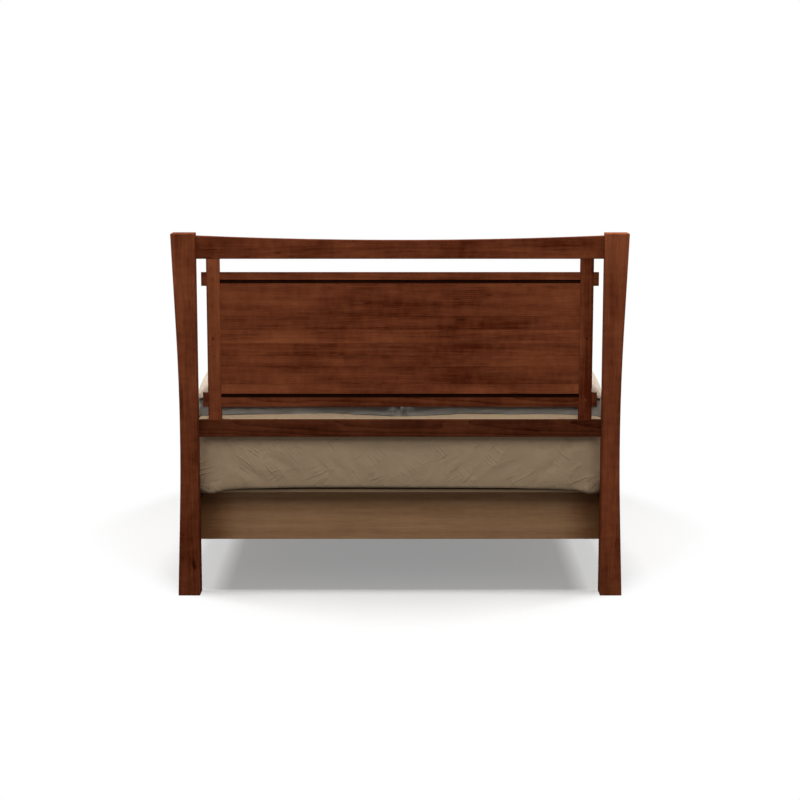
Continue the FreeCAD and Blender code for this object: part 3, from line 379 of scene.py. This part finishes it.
def zinc(name, colour):
    """Zinc-plated steel: the grains of the plating are cells of slightly different grey."""
    tree = Tree(bpy.data.materials.new(name))
    x, y, z = tree.place()
    grain = tree.add("ShaderNodeTexVoronoi", {"Vector": tree.join(x, y, z), "Scale": 260.0})
    shine = tree.split(grain.outputs["Color"])[0]
    scratch = tree.noise(x * 60, y * 60, z * 900)
    return tree.finish(tree.mix(shine, tuple(0.82 * part for part in colour), colour),
                       0.3 + shine * 0.12 + (scratch - 0.5) * 0.15, scratch, 0.0001, Metallic=1.0)


def cotton(name, colour, slub=1.0, thread=0.0007, crease=0.0, pale=0.84):
    """Woven cotton: crossed threads, a little unevenness in the yarn and faint clouds in the colour.

    The height is the sum of two sine waves, one along each thread direction, and of creases: thin ridges
    where a noise that is long along one diagonal of the wall passes its mean, in patches, and the same
    along the other diagonal."""
    tree = Tree(bpy.data.materials.new(name))
    x, y, z = tree.place()
    folds = 0.0
    if crease:
        around = x + y
        for lean, shift in ((1.0, 0.0), (-0.7, 31.0)):
            along, off = around + z * lean, around * lean - z
            line = tree.noise(along * 5 + shift, off * 22, x * 2, detail=1)
            where = tree.noise(along * 9, off * 7 + shift, y * 2, detail=2).smooth(0.47, 0.62)
            folds = folds + (1 - abs(line - 0.5) * 13).held() * where * crease
    turn = 2 * math.pi / thread
    weave = ((x + z * 0.5) * turn).sine() + ((y + z * 0.5) * turn).sine()
    yarn = tree.noise(x * 900, y * 260, z * 900)
    cloud = tree.noise(x * 7, y * 7, z * 7, detail=3)
    lint = tree.noise(x * 45, y * 45, z * 45, detail=3)
    share = (0.5 + (cloud - 0.5) * 0.9 + (lint - 0.5) * 0.35 + (yarn - 0.5) * 0.5 * slub
             + weave * 0.04).held()
    return tree.finish(tree.mix(share, tuple(pale * part for part in colour), colour),
                       0.86 + (lint - 0.5) * 0.1, weave * 0.12 + yarn * slub + lint * 1.6 + folds, 0.0006,
                       Specular_IOR_Level=0.25, Sheen_Weight=0.12, Sheen_Roughness=0.4)


def paint(node, material):
    """Gives a node's object one material."""
    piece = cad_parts[node]
    piece.data.materials.clear()
    piece.data.materials.append(material)


def new_piece(name, points, faces, material, smooth=True):
    """A new object with its place in its mesh."""
    mesh = bpy.data.meshes.new(name)
    mesh.from_pydata(np.asarray(points, float).reshape(-1, 3).tolist(), [], faces)
    mesh.polygons.foreach_set("use_smooth", [smooth] * len(mesh.polygons))
    mesh.materials.append(material)
    mesh.update()
    piece = bpy.data.objects.new(name, mesh)
    bpy.context.scene.collection.objects.link(piece)
    return piece


def lattice(rows, columns, around=False, start=0):
    """Faces of a grid of points that is stored row by row, closed round each row if it is around."""
    row = np.arange(rows - 1)[:, None] * columns
    column = np.arange(columns if around else columns - 1)[None, :]
    after = (column + 1) % columns
    faces = np.stack([row + column, row + after, row + columns + after, row + columns + column], axis=-1)
    return (faces.reshape(-1, 4) + start).tolist()


def settle(piece, frames, colliders=(), cap=None, sink=None, pins=None, **settings):
    """Runs Cloth on a piece and puts the result into its mesh.

    colliders are the pieces that it lies on. Points with a weight of 1 in pins stay, and no point ends
    further than cap from where it began: a longer way is shortened to cap along its own direction. Nor
    does a point end further inwards than sink, measured along its own normal."""
    scene = bpy.context.scene
    if pins is not None:
        group = piece.vertex_groups.new(name="Pinned")
        for weight in np.unique(pins):
            group.add(np.flatnonzero(pins == weight).tolist(), float(weight), "REPLACE")
    hits = []
    for solid in colliders:
        hits.append((solid, solid.modifiers.new("Collision", "COLLISION")))
        solid.collision.thickness_outer = 0.001
        solid.collision.cloth_friction = 20
    cloth = piece.modifiers.new("Cloth", "CLOTH")
    own = cloth.settings
    own.quality, own.mass = 7, 0.25
    own.tension_stiffness = own.compression_stiffness = own.shear_stiffness = 18
    own.bending_stiffness = 0.6
    own.air_damping = 2
    if pins is not None:
        own.vertex_group_mass = "Pinned"
    for name, setting in settings.items():
        holder = own.effector_weights if name == "gravity" else own
        setattr(holder, name, setting)
    cloth.collision_settings.use_collision = bool(colliders)
    cloth.collision_settings.distance_min = 0.001
    cloth.point_cache.frame_start, cloth.point_cache.frame_end = 1, frames
    start = points_of(piece)
    for number in range(1, frames + 1):
        scene.frame_set(number)
    end = points_of(piece.evaluated_get(bpy.context.evaluated_depsgraph_get()))
    scene.frame_set(1)
    piece.modifiers.remove(cloth)
    if pins is not None:
        piece.vertex_groups.clear()
    for solid, hit in hits:
        solid.modifiers.remove(hit)
    way = end - start
    if cap:
        length = np.linalg.norm(way, axis=1, keepdims=True)
        way *= np.minimum(1, cap / np.maximum(length, 1e-9))
    if sink:
        normal = np.empty(len(start) * 3)
        piece.data.vertex_normals.foreach_get("vector", normal)
        normal = normal.reshape(-1, 3)
        way -= np.minimum((way * normal).sum(axis=1, keepdims=True) + sink, 0) * normal
    piece.data.vertices.foreach_set("co", (start + way).ravel())
    piece.data.update()


def points_of(piece):
    """The points of an object's mesh as rows of x, y and z."""
    flat = np.empty(len(piece.data.vertices) * 3)
    piece.data.vertices.foreach_get("co", flat)
    return flat.reshape(-1, 3)


def block(half, low, high, corner, edge, under, step, foot, lift):
    """Points and faces of a block with rounded corners and edges, and the numbers of its wall's points.

    The top is a grid. A point of it goes to c + d * max(|dx|, |dy|) / |d|, where c is the nearest point
    of the rectangle that the corner's radius leaves and d the way from there, so squares become circles.
    The wall's columns go on from the grid's border: outwards by corner - inset along the border's own
    normal and down to z. Inset and z follow a quarter circle of the edge's radius, the straight wall and
    a cubic, foot wide and high, which ends as high above low as lift(column's x, y) says, and then go
    in under the block as far as under and to low. The cubic is narrower where it ends below low: a fifth
    as wide 8 mm down."""
    half = np.array(half)
    inner = half - corner
    count = np.maximum(np.round(2 * (half - edge) / step).astype(int), 4)
    x, y = (np.linspace(-1, 1, n + 1) * (h - edge) for n, h in zip(count, half))
    grid = np.stack(np.meshgrid(x, y), axis=-1)
    away = grid - np.clip(grid, -inner, inner)
    length = np.linalg.norm(away, axis=-1, keepdims=True)
    square = np.abs(away).max(axis=-1, keepdims=True)
    top = np.clip(grid, -inner, inner) + away * np.where(length > 0, square / np.maximum(length, 1e-9), 1)
    rows, columns = top.shape[:2]
    number = np.arange(rows * columns).reshape(rows, columns)
    border = np.concatenate([number[0, :-1], number[:-1, -1], number[-1, :0:-1], number[:0:-1, 0]])
    edge_points = top.reshape(-1, 2)[border]
    hub = np.clip(grid.reshape(-1, 2)[border], -inner, inner)
    outward = edge_points - hub
    outward /= np.linalg.norm(outward, axis=1, keepdims=True)
    base = low + lift(*(hub + outward * corner).T)
    arc = max(3, round(edge * math.pi / 2 / step))
    turn = np.linspace(0, math.pi / 2, arc + 1)[1:]
    walls = max(3, round((high - low - edge - foot[1]) / step))
    last = max(6, round(foot[1] * 1.2 / step))
    inset, height = [], []
    for angle in turn:
        inset.append(np.full(len(border), edge * (1 - math.sin(angle))))
        height.append(np.full(len(border), high - edge * (1 - math.cos(angle))))
    for share in np.linspace(0, 1, walls + 1)[1:]:
        inset.append(np.zeros(len(border)))
        height.append((high - edge) * (1 - share) + (base + foot[1]) * share)
    tuck = foot[0] * np.clip(1 + (base - low) / 0.01, 0.2, 1)
    for share in np.linspace(0, 1, last + 1)[1:]:
        inset.append(tuck * share ** 3)
        height.append(base + foot[1] * (1 - share))
    for share in (0.4, 0.8, 1.0):
        inset.append(tuck + (under - tuck) * share)
        height.append(np.maximum(base, low) * (1 - share ** 6) + low * share ** 6)
    inset, height = np.array(inset), np.array(height)
    wall = hub + outward * (corner - inset)[..., None]
    points = np.concatenate([np.dstack([top, np.full(top.shape[:2], high)]).reshape(-1, 3),
                             np.dstack([wall, height]).reshape(-1, 3)])
    ring = np.concatenate([border[None], np.arange(inset.size).reshape(inset.shape) + number.size])
    following = np.roll(ring, -1, axis=1)
    side = np.stack([ring[:-1], ring[1:], following[1:], following[:-1]], axis=-1).reshape(-1, 4)
    return points, lattice(rows, columns) + side.tolist(), ring


def cap_faces(ring):
    """Closes a block's open underside: a strip of quads between the two halves of its last ring."""
    half = len(ring) // 2
    there, back = ring[:half + 1], np.concatenate([ring[half:], ring[:1]])[::-1]
    return [[int(i) for i in dict.fromkeys(quad)] for quad in zip(there[:-1], back[:-1], back[1:], there[1:])]


def lower_edge(x, y):
    """How far the sheet pulls the mattress's lower edge up.

    Along the ends it is end_lift * (1 - (x / end_half) ^ 4), and along the sides side_lift times the same
    with y and side_half. At the head a tilt is added to end_lift, from -tilt to tilt over twice tilt_half.
    Past end_half, the ends hang down by droop."""
    end_lift, end_half, side_lift, side_half = 0.0095, 0.66, 0.004, 0.90
    tilt, tilt_half, droop, droop_width = 0.0015, 0.3, 0.008, 0.04
    ends = (end_lift + tilt * np.clip(x / tilt_half, -1, 1) * (y > 0)) * (1 - np.abs(x / end_half) ** 4)
    sides = side_lift * np.clip(1 - np.abs(y / side_half) ** 4, 0, 1)
    hanging = np.clip((np.abs(x) - end_half) / droop_width, 0, 1) * droop
    return np.where(np.abs(y) > END_WALL, np.maximum(ends, 0) - hanging, sides)


def creases(points, seed, count, length, width, depth):
    """Height of the tension creases at points of the mattress's walls.

    Each crease is a straight fold with the profile exp(-(off / width) ^ 2) across it and
    exp(-(along / length) ^ 2) along it. It slants to either side, and by chance it stands out or lies in.
    Its place counts metres along the wall, x on the ends and y on the sides, which begin at side_at."""
    side_at, end_span, side_span, heights = 4, (-0.76, 0.76), (2.98, 5.02), (0.43, 0.62)
    lowest, highest = -0.0012, 0.004
    chance = np.random.default_rng(seed)
    x, y, z = points.T
    around = np.where(np.abs(y) > END_WALL, x * np.sign(y), y * np.sign(x) + side_at * np.sign(x))
    lines = np.concatenate([chance.uniform(*end_span, count), chance.uniform(*side_span, count),
                            chance.uniform(-side_span[1], -side_span[0], count)])
    total = np.zeros(len(points))
    for middle in lines:
        height = chance.uniform(*heights)
        slant = math.radians(chance.uniform(25, 75)) * chance.choice((-1, 1))
        over, up = around - middle, z - height
        along = over * math.cos(slant) + up * math.sin(slant)
        off = up * math.cos(slant) - over * math.sin(slant)
        long, wide = length * chance.uniform(0.5, 1.3), width * chance.uniform(0.6, 1.5)
        total += (chance.choice((-0.6, 1.0)) * chance.uniform(0.4, 1) *
                  np.exp(-(off / wide) ** 2 - (along / long) ** 2))
    return np.clip(depth * total, lowest, highest)


class MakesPiece:
    """What the operators of the bed share."""

    bl_options = {"REGISTER", "UNDO"}


class BED_OT_finish_frame(MakesPiece, bpy.types.Operator):
    """Finish the two ends, the side rails, the drawer fronts and the knobs in stained cherry"""

    bl_idname = "bed.finish_frame"
    bl_label = "Finish Frame"

    def execute(self, context):
        look = context.scene.bed_woods
        light, dark = tuple(look.cherry), tuple(look.cherry_dark)

        def cherry(node, grain, seed, darkening=1.0, **more):
            colours = (tuple(darkening * part for part in colour) for colour in (light, dark))
            paint(node, wood(f"cherry_{node}", node, grain, *colours, seed, satin=look.satin, coat=0.03,
                             **more))

        for place, end in enumerate(ENDS):
            seed = 20 * place
            for side, name in enumerate(SIDES):
                # Painted light: slope and fade make each post lighter towards its top than its foot, a
                # painted share of the light falling from above.
                cherry(f"{end}_post_{name}", "zxy", seed + 1.3 + side, tone=0.06 - 0.12 * side,
                       slope=0.20 - 0.08 * side, fade=(0.25 - 0.25 * side, 0.5),
                       spots=((0.767, 0.124, 0.012), (0.763, 0.107, 0.01)) if side else ())
                cherry(f"{end}_stile_{name}", "zxy", seed + 3.7 + side, tone=-0.34 + 0.52 * side,
                       spots=((0.686, 0.958, 0.006),) if end == "head" else ())
            cherry(f"{end}_top_rail", "xzy", seed + 6.1, tone=-0.19, fade=(0.25, 0.2))
            cherry(f"{end}_cross_rail", "xzy", seed + 7.2, darkening=0.5, rings=3.0, tone=-0.02)
            # Painted shade: the grooves along the panel's edges are painted almost black, and the negative
            # fade darkens the rails' horns, which sit in the shaded gap between stile and post.
            bottom, top = (corner.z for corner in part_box(f"{end}_panel"))
            cherry(f"{end}_upper_panel_rail", "xzy", seed + 8.4, tone=0.05, fade=(-0.15, 0.94),
                   recess=(GROOVE_HALF, top - GROOVE_OVER, top + GROOVE_INTO, *GROOVE_DEPTHS))
            cherry(f"{end}_lower_panel_rail", "xzy", seed + 9.6, darkening=0.8, rings=3.0, tone=-0.04,
                   fade=(-0.1, 0.94),
                   recess=(GROOVE_HALF, bottom - GROOVE_INTO, bottom + GROOVE_OVER, *GROOVE_DEPTHS))
            cherry(f"{end}_panel", "xzy", seed + 11, seams=PANEL_SEAMS[end], tone=0.04, fade=(0.16, 0.1))
            cherry(f"{end}_pegs", "yzx", seed + 12.5, seams=((0.9, -0.3),), tone=0.05)
        for side, name in enumerate(SIDES):
            cherry(f"side_rail_{name}", "yzx", 42.1 + side)
        for number, drawer in enumerate(DRAWERS):
            cherry(f"{drawer}_front", "yzx", 45.3 + number)
            cherry(f"{drawer}_knobs", "xyz", 50.9 + number, rings=0.5)
        return {"FINISHED"}


class BED_OT_finish_base(MakesPiece, bpy.types.Operator):
    """Finish the storage base, the deck and the centre support in plywood and pine"""

    bl_idname = "bed.finish_base"
    bl_label = "Finish Base"

    def execute(self, context):
        look = context.scene.bed_woods
        ply, pine = tuple(look.plywood), tuple(look.pine)
        # The plywood's dark is redder than its grain needs: painted red light thrown back from the cherry
        # posts.
        ply_dark = (0.5 * ply[0], 0.38 * ply[1], 0.3 * ply[2])
        pine_dark = tuple(0.62 * part for part in pine)
        # Painted shade: the fade darkens each plywood panel towards both ends, where the posts shade it.
        for number, node in enumerate(("storage_panel_head", "storage_panel_foot", "storage_partition")):
            paint(node, wood(f"plywood_{number}", node, "xzy", ply, ply_dark, 60 + number, rings=0.3,
                             flecks=0.2, satin=0.55, figure=0.4, tone=0.08, fade=(-0.75, 0.76)))
        low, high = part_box("deck_slats")
        slats, margin = 15, 0.020
        paint("deck_slats", wood("pine_slats", "deck_slats", "xyz", pine, pine_dark, 70, satin=0.6,
                                 flecks=0.5, pitch=(1, low.y + margin, high.y - margin, slats)))
        # The ledgers are darkened to a fifth of the pine: painted shade, as their ends show in the shadow
        # beside the posts.
        supports = (("centre_beam", "yzx", 1.0), ("slat_ledgers", "yzx", 0.2), ("centre_legs", "zxy", 1.0))
        for number, (node, grain, darkening) in enumerate(supports):
            colours = (tuple(darkening * part for part in colour) for colour in (pine, pine_dark))
            paint(node, wood(f"pine_{node}", node, grain, *colours, 90 + number, satin=0.6, flecks=0.5))
        return {"FINISHED"}


class BED_OT_finish_drawers(MakesPiece, bpy.types.Operator):
    """Finish the drawer boxes and their runners in maple, with plywood bottoms"""

    bl_idname = "bed.finish_drawers"
    bl_label = "Finish Drawers"

    def execute(self, context):
        look = context.scene.bed_woods
        colours = {"maple": tuple(look.maple), "plywood": tuple(look.plywood)}
        dark = {kind: tuple(0.7 * part for part in colour) for kind, colour in colours.items()}
        for number, drawer in enumerate(DRAWERS):
            for part, kind, grain in (("sides", "maple", "xzy"), ("back", "maple", "yzx"),
                                      ("bottom", "plywood", "yxz")):
                node = f"{drawer}_{part}"
                paint(node, wood(f"{kind}_{node}", node, grain, colours[kind], dark[kind],
                                 100 + 4.3 * number + len(part), rings=0.5, flecks=0.3))
        paint("drawer_runners", wood("maple_runners", "drawer_runners", "xzy", colours["maple"],
                                     dark["maple"], 140))
        return {"FINISHED"}


class BED_OT_finish_steel(MakesPiece, bpy.types.Operator):
    """Finish the hook plates, the catch plates and the levellers in zinc-plated steel"""

    bl_idname = "bed.finish_steel"
    bl_label = "Finish Steel"

    def execute(self, context):
        steel = zinc("zinc_steel", tuple(context.scene.bed_woods.steel))
        for node in ("rail_hook_plates", "post_catch_plates", "leg_levellers"):
            paint(node, steel)
        return {"FINISHED"}


class BED_OT_make_mattress(MakesPiece, bpy.types.Operator):
    """Make the mattress and pull a fitted sheet over it"""

    bl_idname = "bed.make_mattress"
    bl_label = "Make Mattress"

    def execute(self, context):
        linen = context.scene.bed_linen
        low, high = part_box("mattress")
        half = np.array([(high.x - low.x) / 2, (high.y - low.y) / 2])
        # How deep the core lies inside the sheet, how far in the creased walls lie, and how thick a wall is.
        gap, drawn_in, beside = 0.0042, 0.001, 0.02
        points, faces, ring = block(half - gap, low.z + gap / 2, high.z - gap, linen.corner - gap,
                                    linen.edge - gap, linen.corner - gap - 0.003, linen.mesh_step, CORE_FOOT,
                                    lower_edge)
        core = new_piece("mattress_core", points, faces + cap_faces(ring[-1]),
                         cotton("mattress_ticking", tuple(linen.ticking)))
        points, faces, ring = block(half, low.z + 0.0002, high.z - 0.0015, linen.corner, linen.edge,
                                    linen.corner - 0.002, linen.mesh_step, SHEET_FOOT, lower_edge)
        sheet = new_piece("fitted_sheet", points, faces,
                          cotton("sheet_cotton", tuple(linen.sheet), crease=3.6, pale=0.7))
        pins = np.zeros(len(points))
        pins[ring[-3:].ravel()] = 1
        settle(sheet, 16, [core], cap=0.006, sink=0.0012, pins=pins, shrink_min=-linen.spare, gravity=0.0)
        points = points_of(sheet)
        wall = np.abs(points[:, :2]) > half - beside
        rise = creases(points, seed=5, count=40, length=0.06, width=0.022, depth=0.0018) * wall.any(axis=1)
        out = np.where(wall, np.sign(points[:, :2]), 0)
        points[:, :2] += out * (rise - drawn_in)[:, None]
        sheet.data.vertices.foreach_set("co", points.ravel())
        sheet.data.update()
        thick = sheet.modifiers.new("Thickness", "SOLIDIFY")
        thick.thickness, thick.offset = 0.0008, -1.0
        for piece in (core, sheet):
            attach(piece, "frame")
        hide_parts("mattress")
        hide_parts("mattress")
        return {"FINISHED"}


class BED_OT_make_pillows(MakesPiece, bpy.types.Operator):
    """Make the two pairs of pillows, fill them and let the upper ones lie on the lower"""

    bl_idname = "bed.make_pillows"
    bl_label = "Make Pillows"

    def pillow(self, name, node, lift, fullness, proud, case, linen, mattress):
        """A pillow between its node's lowest and highest corners.

        Its outline is a rectangle whose sides lie in by waist * (1 - t ^ 2) between the corners, apart from
        the side that lies against the other pillow of the pair. It is wider than its node by proud, away
        from the other pillow and toward the headboard. From the seam's height each face rises or falls by
        its reach times ((1 - |u| ^ p) (1 - |v| ^ q)) ^ 0.42, the lower one by the root of that. p is 14
        toward the other pillow and fullness away from it, and q is fullness toward the headboard and 2.6
        away from it. Over the rounded edge of the mattress the lower pillow hangs as far as that drops."""
        waist, touch, bend = 0.012, 0.0015, 0.93
        low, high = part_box(node)
        middle = np.array([(low.x + high.x) / 2, (low.y + high.y) / 2])
        reach = np.array([(high.x - low.x) / 2, (high.y - low.y) / 2])
        count = np.round(2 * reach / linen.mesh_step).astype(int)
        u, v = np.meshgrid(*(np.sin(np.linspace(-1, 1, n + 1) * math.pi / 2 * bend)
                             / math.sin(math.pi / 2 * bend) for n in count))
        against = u * middle[0] < 0
        x = middle[0] + u * (reach[0] + np.where(against, touch, proud[0] - waist * (1 - v ** 2)))
        y = middle[1] + v * (reach[1] - waist * (1 - u ** 2) + proud[1] * (v > 0))
        sideways = 1 - np.abs(u) ** np.where(against, 14, fullness)
        lengthways = 1 - np.abs(v) ** np.where(v > 0, fullness, 2.6)
        swell = np.clip(sideways * lengthways, 0, 1) ** 0.42
        edge = linen.edge
        past = np.stack([np.abs(x) - mattress[0], np.abs(y) - mattress[1]])
        over = np.clip(past + edge, 0, edge).max(axis=0)
        seam = low.z + lift[0] - (edge - np.sqrt(edge ** 2 - over ** 2)) * (lift[1] < 0)
        bottom, top = seam + lift[1] * swell ** 0.5, seam + 0.006 + (high.z - seam - 0.010) * swell
        rows, columns = u.shape
        upper = np.stack([x, y, np.where(swell > 0, top, seam)], axis=-1).reshape(-1, 3)
        lower = np.stack([x, y, bottom], axis=-1).reshape(-1, 3)
        inside = np.zeros((rows, columns), bool)
        inside[1:-1, 1:-1] = True
        place = np.where(inside.ravel(), len(upper) + np.cumsum(inside.ravel()) - 1, np.arange(len(upper)))
        points = np.concatenate([upper, lower[inside.ravel()]])
        faces = lattice(rows, columns)
        faces += [[int(place[i]) for i in face[::-1]] for face in faces]
        return new_piece(name, points, faces, case)

    def execute(self, context):
        linen = context.scene.bed_linen
        # The lower cases take the grey, painted-shade copy of the pillowcase colour.
        cases = {"lower": cotton("shaded_case_cotton", tuple(linen.shaded_case), slub=0.7),
                 "upper": cotton("pillowcase_cotton", tuple(linen.pillowcase), slub=0.7)}
        bed = bpy.data.objects["fitted_sheet"]
        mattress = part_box("mattress")[1]
        for side in SIDES:
            beneath = [bed]
            for layer, *form in PILLOW_LAYERS:
                node = f"pillow_{layer}_{side}"
                piece = self.pillow(f"{layer}_pillow_{side}", node, *form, cases[layer], linen, mattress)
                settle(piece, 14, beneath, cap=0.012, shrink_min=-0.02, gravity=0.0, use_pressure=True,
                       uniform_pressure_force=3.0)
                smooth = piece.modifiers.new("Smooth", "SUBSURF")
                smooth.levels = smooth.render_levels = 1
                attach(piece, "frame")
                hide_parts(node)
                beneath = [piece]
        return {"FINISHED"}


class BED_OT_set_stage(MakesPiece, bpy.types.Operator):
    """Set the white floor, the lamps, the sky and the camera"""

    bl_idname = "bed.set_stage"
    bl_label = "Set Stage"

    def lamp(self, name, place, target, size, power):
        """A soft lamp of the given width and height at place that faces target."""
        data = bpy.data.lights.new(name, "AREA")
        data.shape, data.size, data.size_y, data.energy = "RECTANGLE", *size, power
        lamp = bpy.data.objects.new(name, data)
        bpy.context.scene.collection.objects.link(lamp)
        lamp.location = place
        direction = np.array(target, float) - np.array(place, float)
        lamp.rotation_euler = (math.atan2(np.hypot(*direction[:2]), -direction[2]), 0,
                               math.atan2(direction[0], -direction[1]) + math.pi)
        return lamp

    def execute(self, context):
        studio, scene = context.scene.bed_studio, context.scene
        data = bpy.data.cameras.new("camera")
        data.lens, data.sensor_width, data.clip_end = studio.lens, 36.0, 100.0
        camera = bpy.data.objects.new("camera", data)
        scene.collection.objects.link(camera)
        camera.location = (0, studio.camera_distance, studio.camera_height)
        camera.rotation_euler = (math.pi / 2 - studio.camera_pitch, 0, math.pi)
        scene.camera = camera
        scene.view_settings.view_transform = "Standard"

        tree = Tree(bpy.data.materials.new("floor_white"))
        x, y, z = tree.place()
        dust = (tree.noise(x * 3, y * 3, z) - 0.5) * 0.01
        bounce = tree.add("ShaderNodeBsdfDiffuse", {"Color": (0.3, 0.3, 0.3, 1)})
        coat = tree.mix((0.5 + dust).held(), (0.69,) * 3, (0.73,) * 3)
        pale = tree.add("ShaderNodeBsdfDiffuse", {"Color": coat})
        glow = tree.add("ShaderNodeEmission", {"Strength": studio.floor_glow})
        lit = tree.add("ShaderNodeAddShader", (pale.outputs[0], glow.outputs[0]))
        white = tree.add("ShaderNodeEmission", {"Strength": 1.0})
        away = ((abs(x) / SHADE_HALF[0]) ** 1.5 + (abs(y) / SHADE_HALF[1]) ** 1.5).smooth(0.84, 1.04)
        near = tree.add("ShaderNodeMixShader", (away, lit.outputs[0], white.outputs[0]))
        shader = tree.add("ShaderNodeMixShader", (tree.seen(), bounce.outputs[0], near.outputs[0]))
        tree.add("ShaderNodeOutputMaterial", (shader.outputs[0],))
        corners = [(FLOOR_HALF * a, FLOOR_HALF * b, 0) for a, b in ((-1, -1), (1, -1), (1, 1), (-1, 1))]
        floor = new_piece("floor", corners, [(0, 1, 2, 3)], tree.owner, smooth=False)

        tree = Tree(bpy.data.worlds.new("studio"))
        scene.world = tree.owner
        light, back = (tree.add("ShaderNodeBackground", {"Color": (1, 1, 1, 1), "Strength": strength})
                       for strength in (studio.sky, 1.0))
        choose = tree.add("ShaderNodeMixShader", (tree.seen(), light.outputs[0], back.outputs[0]))
        tree.add("ShaderNodeOutputWorld", (choose.outputs[0],))

        past_floor = bpy.data.collections.new("past_floor")
        past_floor.objects.link(floor)
        past_floor.collection_objects[0].light_linking.link_state = "EXCLUDE"
        for name, (place, target, size, watts) in LAMPS.items():
            lamp = self.lamp(name, place, target, size, watts * studio.lamp_power)
            if name in PAST_FLOOR:
                lamp.light_linking.receiver_collection = past_floor
        return {"FINISHED"}


class VIEW3D_PT_storage_bed(bpy.types.Panel):
    """The bed's settings and the steps that make it"""

    bl_label = "Storage Bed"
    bl_space_type = "VIEW_3D"
    bl_region_type = "UI"
    bl_category = "Storage Bed"

    def draw(self, context):
        for step in STEPS:
            self.layout.operator(step.bl_idname)
        for settings in (context.scene.bed_woods, context.scene.bed_linen, context.scene.bed_studio):
            box = self.layout.box()
            for name in settings.__annotations__:
                box.prop(settings, name)


STEPS = (BED_OT_set_stage, BED_OT_finish_frame, BED_OT_finish_base, BED_OT_finish_drawers,
         BED_OT_finish_steel, BED_OT_make_mattress, BED_OT_make_pillows)
SETTINGS = {"bed_woods": BedWoods, "bed_linen": BedLinen, "bed_studio": BedStudio}
CLASSES = (*SETTINGS.values(), *STEPS, VIEW3D_PT_storage_bed)


def register():
    for each in CLASSES:
        bpy.utils.register_class(each)
    for name, kind in SETTINGS.items():
        setattr(bpy.types.Scene, name, bpy.props.PointerProperty(type=kind))


def unregister():
    for name in SETTINGS:
        delattr(bpy.types.Scene, name)
    for each in reversed(CLASSES):
        bpy.utils.unregister_class(each)


def main():
    register()
    for step in STEPS:
        group, name = step.bl_idname.split(".")
        getattr(getattr(bpy.ops, group), name)()


if __name__ == "__main__":
    main()
